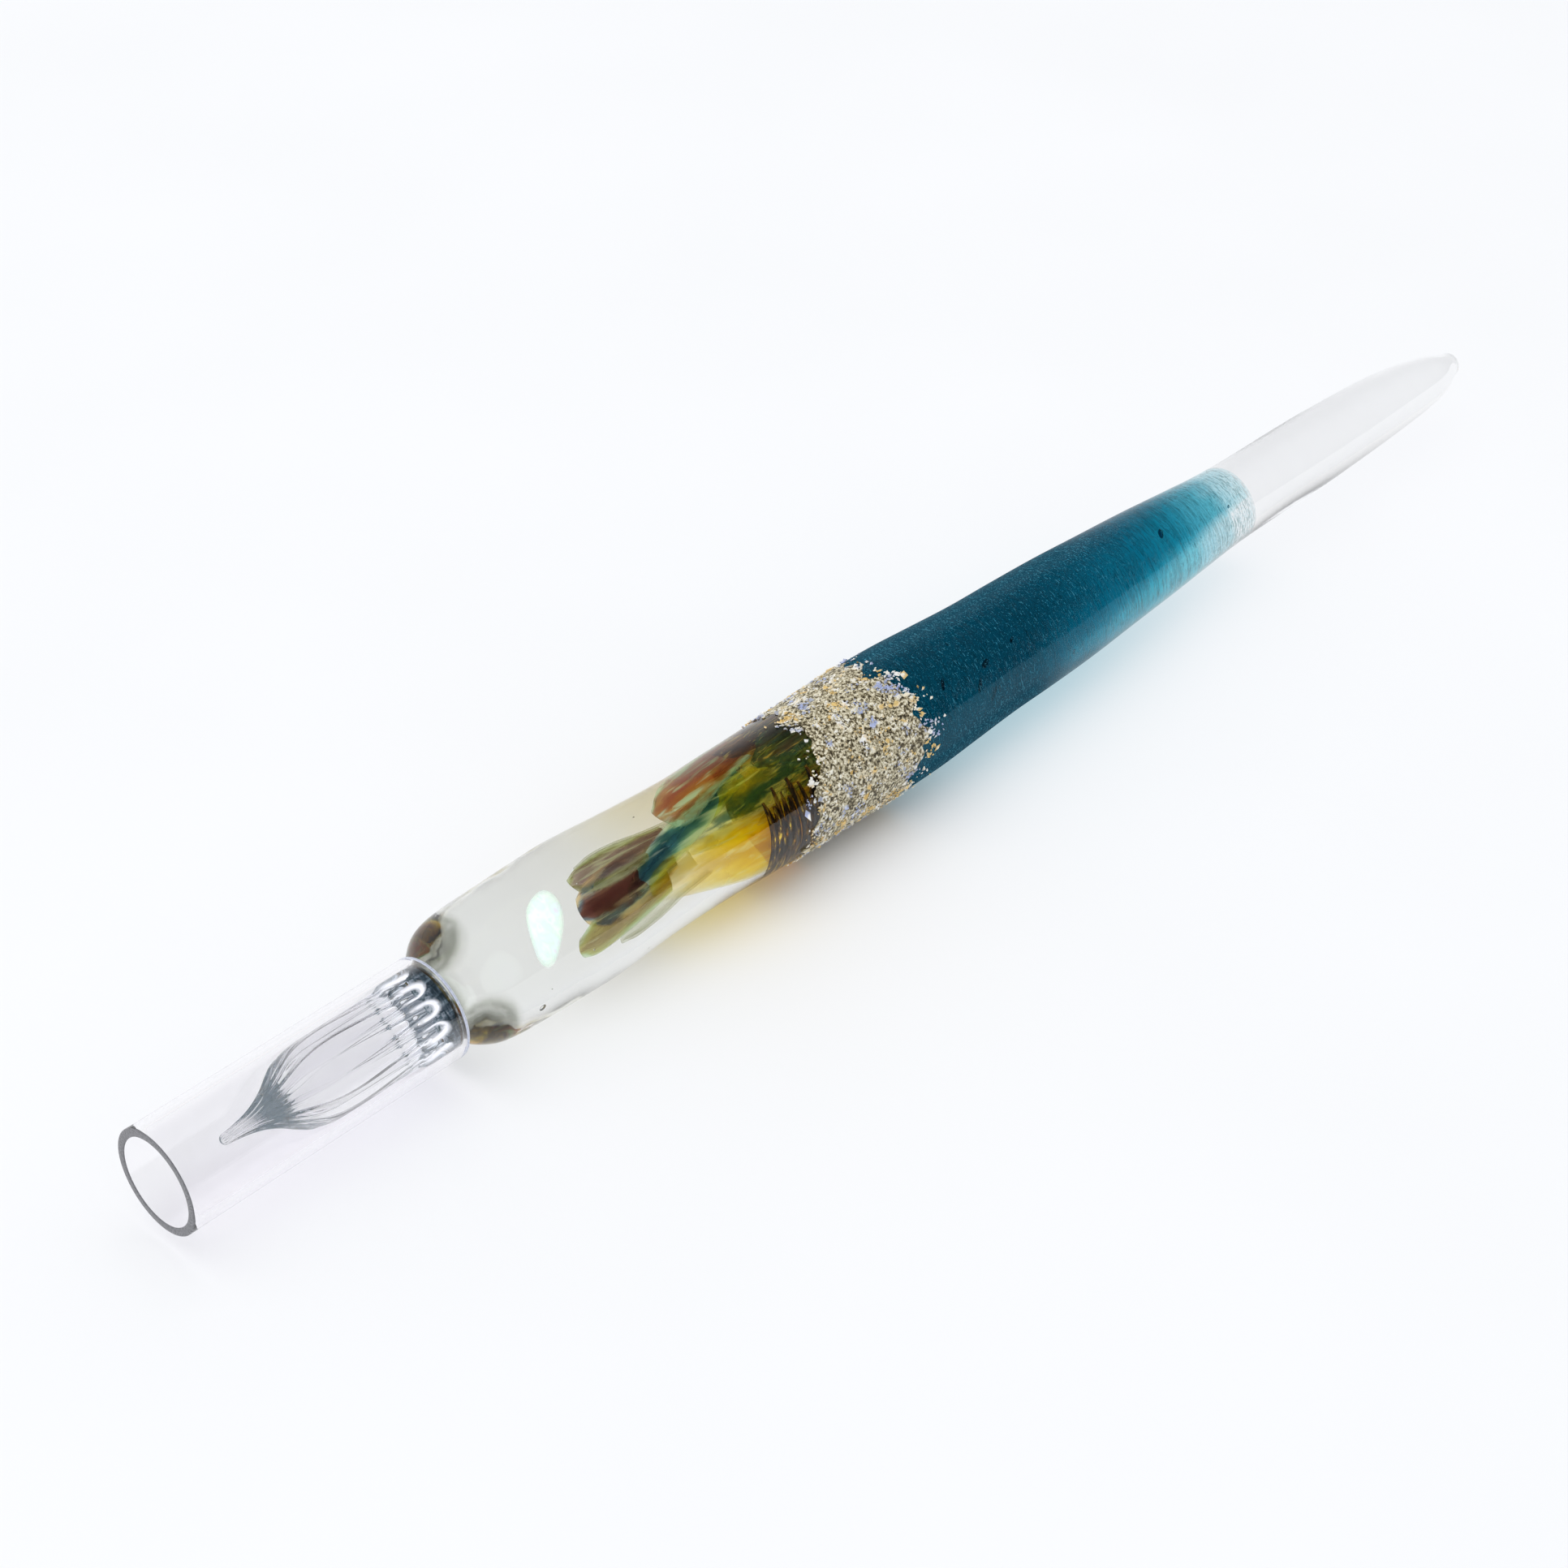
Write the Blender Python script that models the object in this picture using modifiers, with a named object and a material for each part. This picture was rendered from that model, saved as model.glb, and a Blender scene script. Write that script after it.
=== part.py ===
"""A flameworked glass dip pen with a clear push-on guard tube over its fluted nib.

The pen lies along +X, front to tail, on the flats under its two widest places.  The origin is under the
middle of its length, on the surface that it lies on.  Every piece of glass that is made on its own before
the fusing is a separate object.  Stations are distances behind the guard tube's front face.
"""

import math

import bmesh
import bpy

MM = 0.001

# Stations along the pen, from the guard tube's front face
NIB_TIP = 6.2 * MM
FLUTES_FULL = 13.5 * MM
FLUTES_END = 24.0 * MM
SEAT_END = 27.9 * MM
GUARD_LENGTH = 28.0 * MM
SHOULDER_START = 29.0 * MM
SHOULDER_END = 34.5 * MM
FRONT_REST = 43.5 * MM
FRONT_REST_END = 45.5 * MM
WAIST = 58.0 * MM
CASING_END = 67.0 * MM
BAND_END = 82.5 * MM
REAR_REST = 80.0 * MM
REAR_REST_END = 88.0 * MM
TEAL_END = 135.0 * MM
TAIL_CONE_START = 124.0 * MM
TAIL_NOSE_START = 150.0 * MM
PEN_END = 176.3 * MM

# Radii, measured to the flats of the turned sections
GUARD_OUTER_RADIUS = 4.7625 * MM
GUARD_BORE_RADIUS = 3.97 * MM
SEAT_RADIUS = 3.9 * MM
SEAT_CHAMFER = 0.3 * MM
NIB_RADIUS = 3.57 * MM
NIB_BALL_RADIUS = 0.48 * MM
NECK_RADIUS = 3.6 * MM
SHOULDER_RADIUS = 6.1 * MM
REST_RADIUS = 6.5 * MM
WAIST_RADIUS = 6.0 * MM
CASING_END_RADIUS = 6.26 * MM
TEAL_END_RADIUS = 4.0 * MM
TAIL_RADIUS = 3.88 * MM
CAVITY_RADIUS = 4.95 * MM
CORE_RADIUS = 1.5 * MM
BAND_BORE_RADIUS = 5.8 * MM
SPIGOT_RADIUS = 5.6 * MM
TAIL_CONE_RADIUS = 3.2 * MM

# The gap left where two pieces are fused, and the room inside the casing
FUSE_GAP = 0.1 * MM
CAVITY_FRONT = 35.0 * MM
CAVITY_NOSE = 3.0 * MM
CORE_START = 43.8 * MM

# The tail's nose is a superellipse: 2 would be round, more is blunter
TAIL_BLUNTNESS = 2.25

# The nib's flutes
RIB_COUNT = 12
RIB_DEPTH_SHARE = 0.2
FLUTE_RUNOUT = 2.5 * MM
NIB_TWIST = math.radians(25)
POINTS_PER_RIB = 4

# The flower: it faces up and to the pen's right, and its pieces are spread round the core
FACING = math.radians(222)
PETAL_COUNT = 6
PETAL_START = 44.6 * MM
PETAL_END = 54.6 * MM
PETAL_STAGGER = 0.8 * MM
PETAL_RADII = (2.9 * MM, 2.5 * MM)
PETAL_SWEEP = math.radians(8)
PETAL_THICKNESS = 0.35 * MM
GATHER_START = 55.2 * MM
GATHER_END = 63.8 * MM
GATHER_RADII = (2.6 * MM, 3.9 * MM)
GATHER_SWEEP = math.radians(-6)
GATHER_LEAD = math.radians(78)
GATHER_THICKNESS = 0.7 * MM
GATHER_NAMES = ("orange_veil", "green_gather", "yellow_gather", "blue_gather", "plum_gather")

FLAKE_CUP = 0.25 * MM

OPAL_STATION = 40.8 * MM
OPAL_LENGTH = 4.4 * MM
OPAL_WIDTH = 5.0 * MM
OPAL_THICKNESS = 0.9 * MM
OPAL_LIFT = 0.7 * MM
OPAL_RIM = 0.25 * MM

THREAD_COUNT = 3
THREAD_START = 64.6 * MM
THREAD_PITCH = 0.8 * MM
THREAD_COIL_RADIUS = 4.6 * MM
THREAD_RADIUS = 0.16 * MM

SIDES = 24
HALF_FACET = math.pi / SIDES
AXIS_HEIGHT = REST_RADIUS
MERGE = 1e-6
SAMPLE_STEP = 3.0 * MM

# Each material: colour, roughness, metallic, transmission
GLASS_CLEAR = ((0.93, 0.94, 0.92), 0.03, 0.0, 1.0)
FINISHES = {
    "guard_tube": ((0.93, 0.91, 0.96), 0.02, 0.0, 1.0),
    "nib": ((0.80, 0.84, 0.84), 0.05, 0.0, 1.0),
    "nib_seat": ((0.70, 0.75, 0.76), 0.05, 0.0, 1.0),
    "neck_collar": ((0.45, 0.52, 0.50), 0.05, 0.0, 1.0),
    "front_casing": GLASS_CLEAR,
    "core_rod": GLASS_CLEAR,
    "opal_chip": ((0.78, 0.95, 0.85), 0.2, 0.0, 0.2),
    "petal_1": ((0.28, 0.20, 0.12), 0.2, 0.0, 0.5),
    "petal_2": ((0.22, 0.07, 0.05), 0.2, 0.0, 0.4),
    "petal_3": ((0.34, 0.30, 0.10), 0.2, 0.0, 0.5),
    "petal_4": ((0.10, 0.20, 0.22), 0.2, 0.0, 0.5),
    "petal_5": ((0.18, 0.10, 0.16), 0.2, 0.0, 0.5),
    "petal_6": ((0.30, 0.16, 0.10), 0.2, 0.0, 0.5),
    "orange_veil": ((0.55, 0.20, 0.06), 0.2, 0.0, 0.5),
    "green_gather": ((0.10, 0.18, 0.06), 0.2, 0.0, 0.4),
    "yellow_gather": ((0.75, 0.55, 0.02), 0.2, 0.0, 0.5),
    "blue_gather": ((0.04, 0.16, 0.20), 0.2, 0.0, 0.4),
    "plum_gather": ((0.12, 0.05, 0.06), 0.2, 0.0, 0.4),
    "thread_wrap_1": ((0.08, 0.04, 0.02), 0.3, 0.2, 0.0),
    "thread_wrap_2": ((0.12, 0.07, 0.02), 0.3, 0.2, 0.0),
    "thread_wrap_3": ((0.08, 0.04, 0.02), 0.3, 0.2, 0.0),
    "frit_band": ((0.55, 0.52, 0.45), 0.5, 0.3, 0.0),
    "teal_section": ((0.01, 0.20, 0.28), 0.04, 0.0, 0.9),
    "clear_tail": GLASS_CLEAR,
}


def clear_scene():
    for old in list(bpy.data.objects):
        bpy.data.objects.remove(old)


def make_material(name):
    colour, roughness, metallic, transmission = FINISHES[name]
    material = bpy.data.materials.new(name)
    material.use_nodes = True
    shader = material.node_tree.nodes["Principled BSDF"]
    shader.inputs["Base Color"].default_value = (*colour, 1.0)
    shader.inputs["Roughness"].default_value = roughness
    shader.inputs["Metallic"].default_value = metallic
    shader.inputs["Transmission Weight"].default_value = transmission
    return material


def make_axis(name):
    """An empty on the pen's axis at the guard tube's front face, with its own +Z running to the tail."""
    axis = bpy.data.objects.new(name, None)
    axis.location = (-PEN_END / 2, 0.0, AXIS_HEIGHT)
    axis.rotation_euler = (0.0, math.pi / 2, 0.0)
    parts.objects.link(axis)
    return axis


def add_part(name, mesh, axis):
    part = bpy.data.objects.new(name, mesh)
    part.parent = axis
    mesh.materials.append(make_material(name))
    parts.objects.link(part)
    return part


def turned(name, outline, axis, ring=False):
    """A turned piece.  The outline holds (station, radius to the flats), back along the outside and then,
    in a hollow piece, forward along the bore.  A ring's outline closes on itself, off the axis."""
    corner = 1 / math.cos(HALF_FACET)
    points = [(radius * corner, 0.0, station) for station, radius in reversed(outline)]
    edges = [(i, i + 1) for i in range(len(points) - 1)]
    if ring:
        edges.append((len(points) - 1, 0))
    mesh = bpy.data.meshes.new(name)
    mesh.from_pydata(points, edges, [])
    part = add_part(name, mesh, axis)
    part.rotation_euler = (0.0, 0.0, HALF_FACET)
    screw = part.modifiers.new("Turn", "SCREW")
    screw.steps = screw.render_steps = SIDES
    screw.use_merge_vertices = True
    screw.merge_threshold = MERGE
    screw.use_smooth_shade = True
    return part


def monotone_curve(points, at):
    """The smooth curve through the points that never passes beyond them, read at one place."""
    last = len(points) - 2
    slopes = [(points[i + 1][1] - points[i][1]) / (points[i + 1][0] - points[i][0]) for i in range(last + 1)]
    tangents = [slopes[0]]
    for before, after in zip(slopes, slopes[1:]):
        tangents.append(0.0 if before * after <= 0 else 2 * before * after / (before + after))
    tangents.append(slopes[-1])
    i = min(max(k for k in range(last + 1) if points[k][0] <= at or k == 0), last)
    width = points[i + 1][0] - points[i][0]
    t = (at - points[i][0]) / width
    rise = points[i + 1][1] - points[i][1]
    start, end = tangents[i] * width, tangents[i + 1] * width
    return points[i][1] + t * (start + t * (3 * rise - 2 * start - end + t * (start + end - 2 * rise)))


BODY_CURVE = [
    (SHOULDER_END, SHOULDER_RADIUS),
    (FRONT_REST, REST_RADIUS),
    (FRONT_REST_END, REST_RADIUS),
    (WAIST, WAIST_RADIUS),
    (CASING_END, CASING_END_RADIUS),
    (REAR_REST, REST_RADIUS),
    (REAR_REST_END, REST_RADIUS),
    (98.0 * MM, 5.85 * MM),
    (111.0 * MM, 5.45 * MM),
    (TEAL_END, TEAL_END_RADIUS),
    (TAIL_NOSE_START, TAIL_RADIUS),
]


def body_radius(station):
    """The pen's outer radius: a rounded shoulder, the free curve of the body, and a blunt rounded tail."""
    if station < SHOULDER_END:
        share = (SHOULDER_END - station) / (SHOULDER_END - SHOULDER_START)
        return NECK_RADIUS + (SHOULDER_RADIUS - NECK_RADIUS) * math.sqrt(max(0.0, 1 - share**2))
    if station > TAIL_NOSE_START:
        share = (station - TAIL_NOSE_START) / (PEN_END - TAIL_NOSE_START)
        return TAIL_RADIUS * math.sqrt(max(0.0, 1 - min(share, 1.0) ** TAIL_BLUNTNESS))
    return monotone_curve(BODY_CURVE, station)


def body_outline(start, end, keep=()):
    """Points along the pen's outside between two stations, always with the stations in keep."""
    count = max(2, round((end - start) / SAMPLE_STEP))
    even = [start + (end - start) * i / count for i in range(count + 1)]
    free = [s for s in even if all(abs(s - k) > SAMPLE_STEP / 3 for k in keep)]
    return [(s, body_radius(s)) for s in sorted([*free, *(k for k in keep if start < k < end)])]


def rounded_end(start, end, count):
    """Stations that crowd towards the end, for an outline that turns in to the axis there."""
    return [start + (end - start) * math.sin(math.pi / 2 * i / count) for i in range(1, count + 1)]


def make_guard_tube(axis):
    outline = [
        (0.0, GUARD_OUTER_RADIUS),
        (GUARD_LENGTH, GUARD_OUTER_RADIUS),
        (GUARD_LENGTH, GUARD_BORE_RADIUS),
        (0.0, GUARD_BORE_RADIUS),
    ]
    turned("guard_tube", outline, axis, ring=True)


def nib_ring(station):
    """The nib's rib-top radius, groove depth and turn about the axis at one station."""
    along = min(1.0, (station - NIB_TIP) / (FLUTES_FULL - NIB_TIP))
    flare = along**2.2 * (3 - 2 * along) if along < 1 else 1.0
    radius = NIB_BALL_RADIUS + (NIB_RADIUS - NIB_BALL_RADIUS) * flare
    fade = min(1.0, (FLUTES_END - station) / FLUTE_RUNOUT)
    depth = RIB_DEPTH_SHARE * radius * min(1.0, 0.35 + along) * max(0.0, fade)
    return radius, depth, NIB_TWIST * (1 - along) ** 2


def make_nib(axis):
    """A loft from the round tip through star-shaped fluted sections to the round root."""
    stations = [NIB_TIP + step * MM for step in (0.0, 0.15, 0.5, 1.5, 2.7, 3.9, 5.0, 6.1, 7.3)]
    stations += [FLUTES_FULL + step * MM for step in (3.5, 7.0, 8.3, 9.5)] + [FLUTES_END]
    count = RIB_COUNT * POINTS_PER_RIB
    shape = bmesh.new()
    rings = []
    for index, station in enumerate(stations):
        radius, depth, turn = nib_ring(station)
        if index == 0:
            radius *= 0.6
        ring = []
        for k in range(count):
            angle = 2 * math.pi * k / count
            here = radius - depth * (0.5 - 0.5 * math.cos(RIB_COUNT * angle))
            place = (here * math.cos(angle + turn), here * math.sin(angle + turn), station)
            ring.append(shape.verts.new(place))
        rings.append(ring)
    shape.faces.new(reversed(rings[0]))
    shape.faces.new(rings[-1])
    for front, back in zip(rings, rings[1:]):
        for k in range(count):
            n = (k + 1) % count
            shape.faces.new((front[k], front[n], back[n], back[k]))
    mesh = bpy.data.meshes.new("nib")
    shape.to_mesh(mesh)
    shape.free()
    mesh.shade_smooth()
    mesh.set_sharp_from_angle(angle=math.radians(50))
    add_part("nib", mesh, axis)


def make_nib_seat(axis):
    start = FLUTES_END + FUSE_GAP
    outline = [
        (start, 0.0),
        (start, SEAT_RADIUS - SEAT_CHAMFER),
        (start + SEAT_CHAMFER, SEAT_RADIUS),
        (SEAT_END, SEAT_RADIUS),
        (SEAT_END, 0.0),
    ]
    turned("nib_seat", outline, axis)


def make_neck_collar(axis):
    start, end = SEAT_END + FUSE_GAP, SHOULDER_START - FUSE_GAP
    middle = (start + end) / 2
    outline = [(start, 0.0), (start, NECK_RADIUS), (middle, 0.97 * NECK_RADIUS), (end, NECK_RADIUS), (end, 0.0)]
    turned("neck_collar", outline, axis)


def make_front_casing(axis):
    shoulder = [(SHOULDER_START, 0.0), (SHOULDER_START, NECK_RADIUS)]
    for step in range(1, 6):
        station = SHOULDER_END - (SHOULDER_END - SHOULDER_START) * math.cos(math.pi / 2 * step / 6)
        shoulder.append((station, body_radius(station)))
    outside = body_outline(SHOULDER_END, CASING_END, keep=(FRONT_REST, FRONT_REST_END))
    cavity = [(CASING_END, CAVITY_RADIUS)]
    for step in range(5):
        turn = math.pi / 2 * step / 4
        cavity.append((CAVITY_FRONT + CAVITY_NOSE * (1 - math.sin(turn)), CAVITY_RADIUS * math.cos(turn)))
    turned("front_casing", shoulder + outside + cavity, axis)


def make_core_rod(axis):
    end = CASING_END - FUSE_GAP
    outline = [(CORE_START, 0.0)]
    outline += [(CORE_START + 0.8 * MM, 0.7 * CORE_RADIUS), (CORE_START + 2.0 * MM, CORE_RADIUS)]
    outline += [(end, CORE_RADIUS), (end, 0.0)]
    turned("core_rod", outline, axis)


def make_opal_chip(axis):
    """A flat flake with rounded edges, lying across the axis and facing the way the flower faces."""
    shape = bmesh.new()
    bmesh.ops.create_cone(shape, cap_ends=True, segments=14, radius1=0.5, radius2=0.5, depth=1.0)
    for corner in shape.verts:
        angle = math.atan2(corner.co.y, corner.co.x)
        wobble = 1 + 0.07 * math.cos(3 * angle + 0.6) + 0.04 * math.cos(5 * angle)
        corner.co.x *= wobble * OPAL_WIDTH
        corner.co.y *= wobble * OPAL_LENGTH
        corner.co.z *= OPAL_THICKNESS
    mesh = bpy.data.meshes.new("opal_chip")
    shape.to_mesh(mesh)
    shape.free()
    mesh.shade_smooth()
    mesh.set_sharp_from_angle(angle=math.radians(40))
    chip = add_part("opal_chip", mesh, axis)
    across = FACING - math.pi / 2
    chip.location = (OPAL_LIFT * math.cos(across), OPAL_LIFT * math.sin(across), OPAL_STATION)
    chip.rotation_euler = (math.pi / 2, 0.0, FACING + math.pi / 2)
    bevel = chip.modifiers.new("Rounded rim", "BEVEL")
    bevel.width = OPAL_RIM
    bevel.segments = 2


def add_flake(name, axis, angle, start, end, radii, spread, thickness, sweep):
    """A coloured sheet that curves round the core: a grid primitive wrapped on to a flaring cone.
    The radii are at its start and end, the spread is its half width as an angle, and the sweep is how far
    it winds round the axis from end to start."""
    shape = bmesh.new()
    bmesh.ops.create_grid(shape, x_segments=5, y_segments=8, size=1.0)
    for corner in shape.verts:
        across, along = corner.co.x, (corner.co.y + 1) / 2
        width = 0.3 + 0.7 * math.sin(math.pi * (0.12 + 0.68 * along))
        turn = angle + spread * width * across + sweep * (1 - along)
        radius = radii[0] + (radii[1] - radii[0]) * along - FLAKE_CUP * across**2
        corner.co = (radius * math.cos(turn), radius * math.sin(turn), start + (end - start) * along)
    mesh = bpy.data.meshes.new(name)
    shape.to_mesh(mesh)
    shape.free()
    mesh.shade_smooth()
    sheet = add_part(name, mesh, axis)
    solid = sheet.modifiers.new("Thickness", "SOLIDIFY")
    solid.thickness = thickness
    solid.offset = 0.0


def make_petals(axis):
    spacing = 2 * math.pi / PETAL_COUNT
    for index in range(PETAL_COUNT):
        lean = PETAL_STAGGER * math.cos(2.1 * index)
        add_flake(
            f"petal_{index + 1}",
            axis,
            FACING + spacing * (index - 1),
            PETAL_START + lean,
            PETAL_END,
            PETAL_RADII,
            0.42 * spacing,
            PETAL_THICKNESS,
            sweep=PETAL_SWEEP,
        )


def make_gathers(axis):
    spacing = 2 * math.pi / len(GATHER_NAMES)
    first = FACING - GATHER_LEAD
    for index, name in enumerate(GATHER_NAMES):
        add_flake(
            name,
            axis,
            first + spacing * index,
            GATHER_START,
            GATHER_END,
            GATHER_RADII,
            0.43 * spacing,
            GATHER_THICKNESS,
            sweep=GATHER_SWEEP,
        )


def make_thread_wraps(axis):
    for index in range(THREAD_COUNT):
        name = f"thread_wrap_{index + 1}"
        bpy.ops.mesh.primitive_torus_add(
            major_segments=SIDES,
            minor_segments=6,
            major_radius=THREAD_COIL_RADIUS,
            minor_radius=THREAD_RADIUS,
        )
        torus = bpy.context.object
        mesh = torus.data
        mesh.name = name
        bpy.data.objects.remove(torus)
        mesh.shade_smooth()
        wrap = add_part(name, mesh, axis)
        wrap.location = (0.0, 0.0, THREAD_START + THREAD_PITCH * index)


def make_frit_band(axis):
    start, end = CASING_END + FUSE_GAP, BAND_END
    outside = body_outline(start, end, keep=(REAR_REST,))
    bore = [(end, BAND_BORE_RADIUS), (start, BAND_BORE_RADIUS)]
    turned("frit_band", outside + bore, axis, ring=True)


def make_teal_section(axis):
    spigot = [(CASING_END + FUSE_GAP, 0.0), (CASING_END + FUSE_GAP, SPIGOT_RADIUS)]
    shoulder = BAND_END + FUSE_GAP
    spigot.append((shoulder, SPIGOT_RADIUS))
    outside = body_outline(shoulder, TEAL_END, keep=(REAR_REST_END,))
    socket = [(TEAL_END, TAIL_CONE_RADIUS + FUSE_GAP), (TAIL_CONE_START, 0.0)]
    turned("teal_section", spigot + outside + socket, axis)


def make_clear_tail(axis):
    slope = (TEAL_END - TAIL_CONE_START) / TAIL_CONE_RADIUS
    nose = TAIL_CONE_START + 3 * FUSE_GAP
    face = TEAL_END + FUSE_GAP
    cone = [(nose, 0.0), (face, (face - nose) / slope)]
    outside = body_outline(face, TAIL_NOSE_START)
    end = [(s, body_radius(s)) for s in rounded_end(TAIL_NOSE_START, PEN_END, 9)]
    turned("clear_tail", cone + outside + end, axis)


clear_scene()
parts = bpy.data.collections.new("glass_dip_pen")
bpy.context.scene.collection.children.link(parts)
pen_axis = make_axis("pen_axis")
guard_axis = make_axis("guard_axis")
make_guard_tube(guard_axis)
make_nib(pen_axis)
make_nib_seat(pen_axis)
make_neck_collar(pen_axis)
make_front_casing(pen_axis)
make_core_rod(pen_axis)
make_opal_chip(pen_axis)
make_petals(pen_axis)
make_gathers(pen_axis)
make_thread_wraps(pen_axis)
make_frit_band(pen_axis)
make_teal_section(pen_axis)
make_clear_tail(pen_axis)
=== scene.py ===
"""The looks of a flameworked glass dip pen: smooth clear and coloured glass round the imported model.

Lengths are in metres.  A place on the pen is a station (distance behind the guard tube's front face), a
radius from the pen's axis and an angle about it: 0 faces the viewer, 90 degrees is the lower side.  The
tables, the formulas in them and the values stored on the skins are in millimetres.
"""

import math

import bpy
import numpy as np
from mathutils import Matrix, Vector, noise


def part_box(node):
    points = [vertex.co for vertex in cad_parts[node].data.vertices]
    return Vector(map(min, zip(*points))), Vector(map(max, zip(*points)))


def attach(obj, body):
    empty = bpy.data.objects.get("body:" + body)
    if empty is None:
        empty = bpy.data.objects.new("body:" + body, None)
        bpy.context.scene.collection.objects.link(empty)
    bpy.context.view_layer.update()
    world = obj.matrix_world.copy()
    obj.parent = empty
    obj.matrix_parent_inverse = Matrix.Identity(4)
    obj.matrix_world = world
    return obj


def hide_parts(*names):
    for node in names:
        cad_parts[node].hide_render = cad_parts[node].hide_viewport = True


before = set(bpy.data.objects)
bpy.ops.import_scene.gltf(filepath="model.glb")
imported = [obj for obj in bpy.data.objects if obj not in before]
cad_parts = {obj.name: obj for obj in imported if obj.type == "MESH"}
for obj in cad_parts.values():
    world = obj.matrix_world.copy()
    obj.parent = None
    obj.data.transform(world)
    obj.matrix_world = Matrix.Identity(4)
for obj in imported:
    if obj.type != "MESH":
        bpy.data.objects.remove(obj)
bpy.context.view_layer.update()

MM = 0.001
TURN = 2 * math.pi
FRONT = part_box("guard_tube")[0].x
AXIS_HEIGHT = (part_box("guard_tube")[0].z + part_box("guard_tube")[1].z) / 2
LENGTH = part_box("clear_tail")[1].x - FRONT
GUARD_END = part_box("guard_tube")[1].x - FRONT
NIB_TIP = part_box("nib")[0].x - FRONT
SEAT_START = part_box("nib_seat")[0].x - FRONT
SEAT_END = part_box("nib_seat")[1].x - FRONT
BAND_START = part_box("frit_band")[0].x - FRONT
BAND_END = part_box("frit_band")[1].x - FRONT
TEAL_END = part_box("teal_section")[1].x - FRONT
GUARD_RADIUS = (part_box("guard_tube")[1].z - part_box("guard_tube")[0].z) / 2

# The direction from the pen's axis to the viewer, square to the axis, and the direction below it
TO_VIEWER = Vector((0.0, -0.671, 0.742)).normalized()
BELOW = Vector((1.0, 0.0, 0.0)).cross(TO_VIEWER).normalized()
if BELOW.z > 0:
    BELOW = -BELOW

AROUND = 144
FLOOR_GAP = 0.02 * MM
GLASS_IOR = 1.48


# ---- geometry helpers


def smooth_curve(points, at):
    """A smooth curve through (place, value) points, read at an array of places."""
    xs, ys = np.array(points, float).T
    slopes = np.diff(ys) / np.diff(xs)
    tangents = np.concatenate([[slopes[0]], (slopes[:-1] + slopes[1:]) / 2, [slopes[-1]]])
    at = np.clip(np.asarray(at, float), xs[0], xs[-1])
    i = np.clip(np.searchsorted(xs, at, side="right") - 1, 0, len(xs) - 2)
    width = xs[i + 1] - xs[i]
    t = (at - xs[i]) / width
    rise = ys[i + 1] - ys[i]
    a, b = tangents[i] * width, tangents[i + 1] * width
    return ys[i] + t * (a + t * (3 * rise - 2 * a - b + t * (a + b - 2 * rise)))


def pen_points(stations, radii, angles):
    """World points for arrays of stations, radii and angles that broadcast together."""
    stations, radii, angles = np.broadcast_arrays(stations, radii, angles)
    across = radii * np.cos(angles)
    down = radii * np.sin(angles)
    points = np.empty((*stations.shape, 3))
    points[..., 0] = FRONT + stations
    points[..., 1] = across * TO_VIEWER.y + down * BELOW.y
    points[..., 2] = AXIS_HEIGHT + across * TO_VIEWER.z + down * BELOW.z
    return points


def new_piece(name, points, faces, material, body="pen", replaces=(), values=None):
    """One object from points and faces, smooth shaded, riding on its body and kept above the floor."""
    points = np.array(points, float)
    points[:, 2] = np.maximum(points[:, 2], FLOOR_GAP)
    mesh = bpy.data.meshes.new(name)
    mesh.from_pydata(points.tolist(), [], [tuple(f) for f in faces])
    for key, numbers in (values or {}).items():
        stored = mesh.attributes.new(key, "FLOAT", "POINT")
        stored.data.foreach_set("value", np.ravel(numbers).astype(np.float32))
    mesh.shade_smooth()
    mesh.materials.append(material)
    piece = bpy.data.objects.new(name, mesh)
    bpy.context.scene.collection.objects.link(piece)
    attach(piece, body)
    if replaces:
        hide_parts(*replaces)
    return piece


def wrapped_faces(rows, columns):
    """Quads between rings that close on themselves."""
    faces = []
    for i in range(rows - 1):
        for k in range(columns):
            n = (k + 1) % columns
            faces.append((i * columns + k, i * columns + n, (i + 1) * columns + n, (i + 1) * columns + k))
    return faces


def ball_faces(rows, columns):
    """Faces of a closed ball: its rings, and a fan from each of the two vertices that come after them."""
    faces = wrapped_faces(rows, columns)
    near, far, last = rows * columns, rows * columns + 1, (rows - 1) * columns
    for k in range(columns):
        n = (k + 1) % columns
        faces += [(near, n, k), (far, last + k, last + n)]
    return faces


def faced(points, faces, centre, inwards=False):
    """The faces, turned round unless the first one faces away from the centre, or towards it if inwards."""
    a, b, c = (points[i] for i in faces[0][:3])
    away = np.dot(np.cross(b - a, c - a), (a + b + c) / 3 - centre) >= 0
    return faces if away != inwards else [f[::-1] for f in faces]


def outward(points, faces):
    """The faces, turned round if they face the pen's axis."""
    score = 0.0
    for face in faces[:: max(1, len(faces) // 200)]:
        a, b, c = (np.asarray(points[i]) for i in face[:3])
        middle = (a + b + c) / 3
        normal = np.cross(b - a, c - a)
        score += normal[1] * middle[1] + normal[2] * (middle[2] - AXIS_HEIGHT)
    return faces if score > 0 else [f[::-1] for f in faces]


def lathe(stations, radius_of, columns=AROUND):
    """Points, faces and station and angle values of a round skin.  radius_of takes stations and angles."""
    angles = np.arange(columns) * TURN / columns
    s, a = np.meshgrid(stations, angles, indexing="ij")
    points = pen_points(s, radius_of(s, a), a).reshape(-1, 3)
    faces = outward(points, wrapped_faces(len(stations), columns))
    return points, faces, {"along": s / MM, "around": a}


def more_values(values, count, station, angle):
    """The values of a skin that has gained some points at one station (in mm) and angle."""
    return {
        "along": np.append(np.ravel(values["along"]), np.full(count, station)),
        "around": np.append(np.ravel(values["around"]), np.full(count, angle)),
    }


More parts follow.
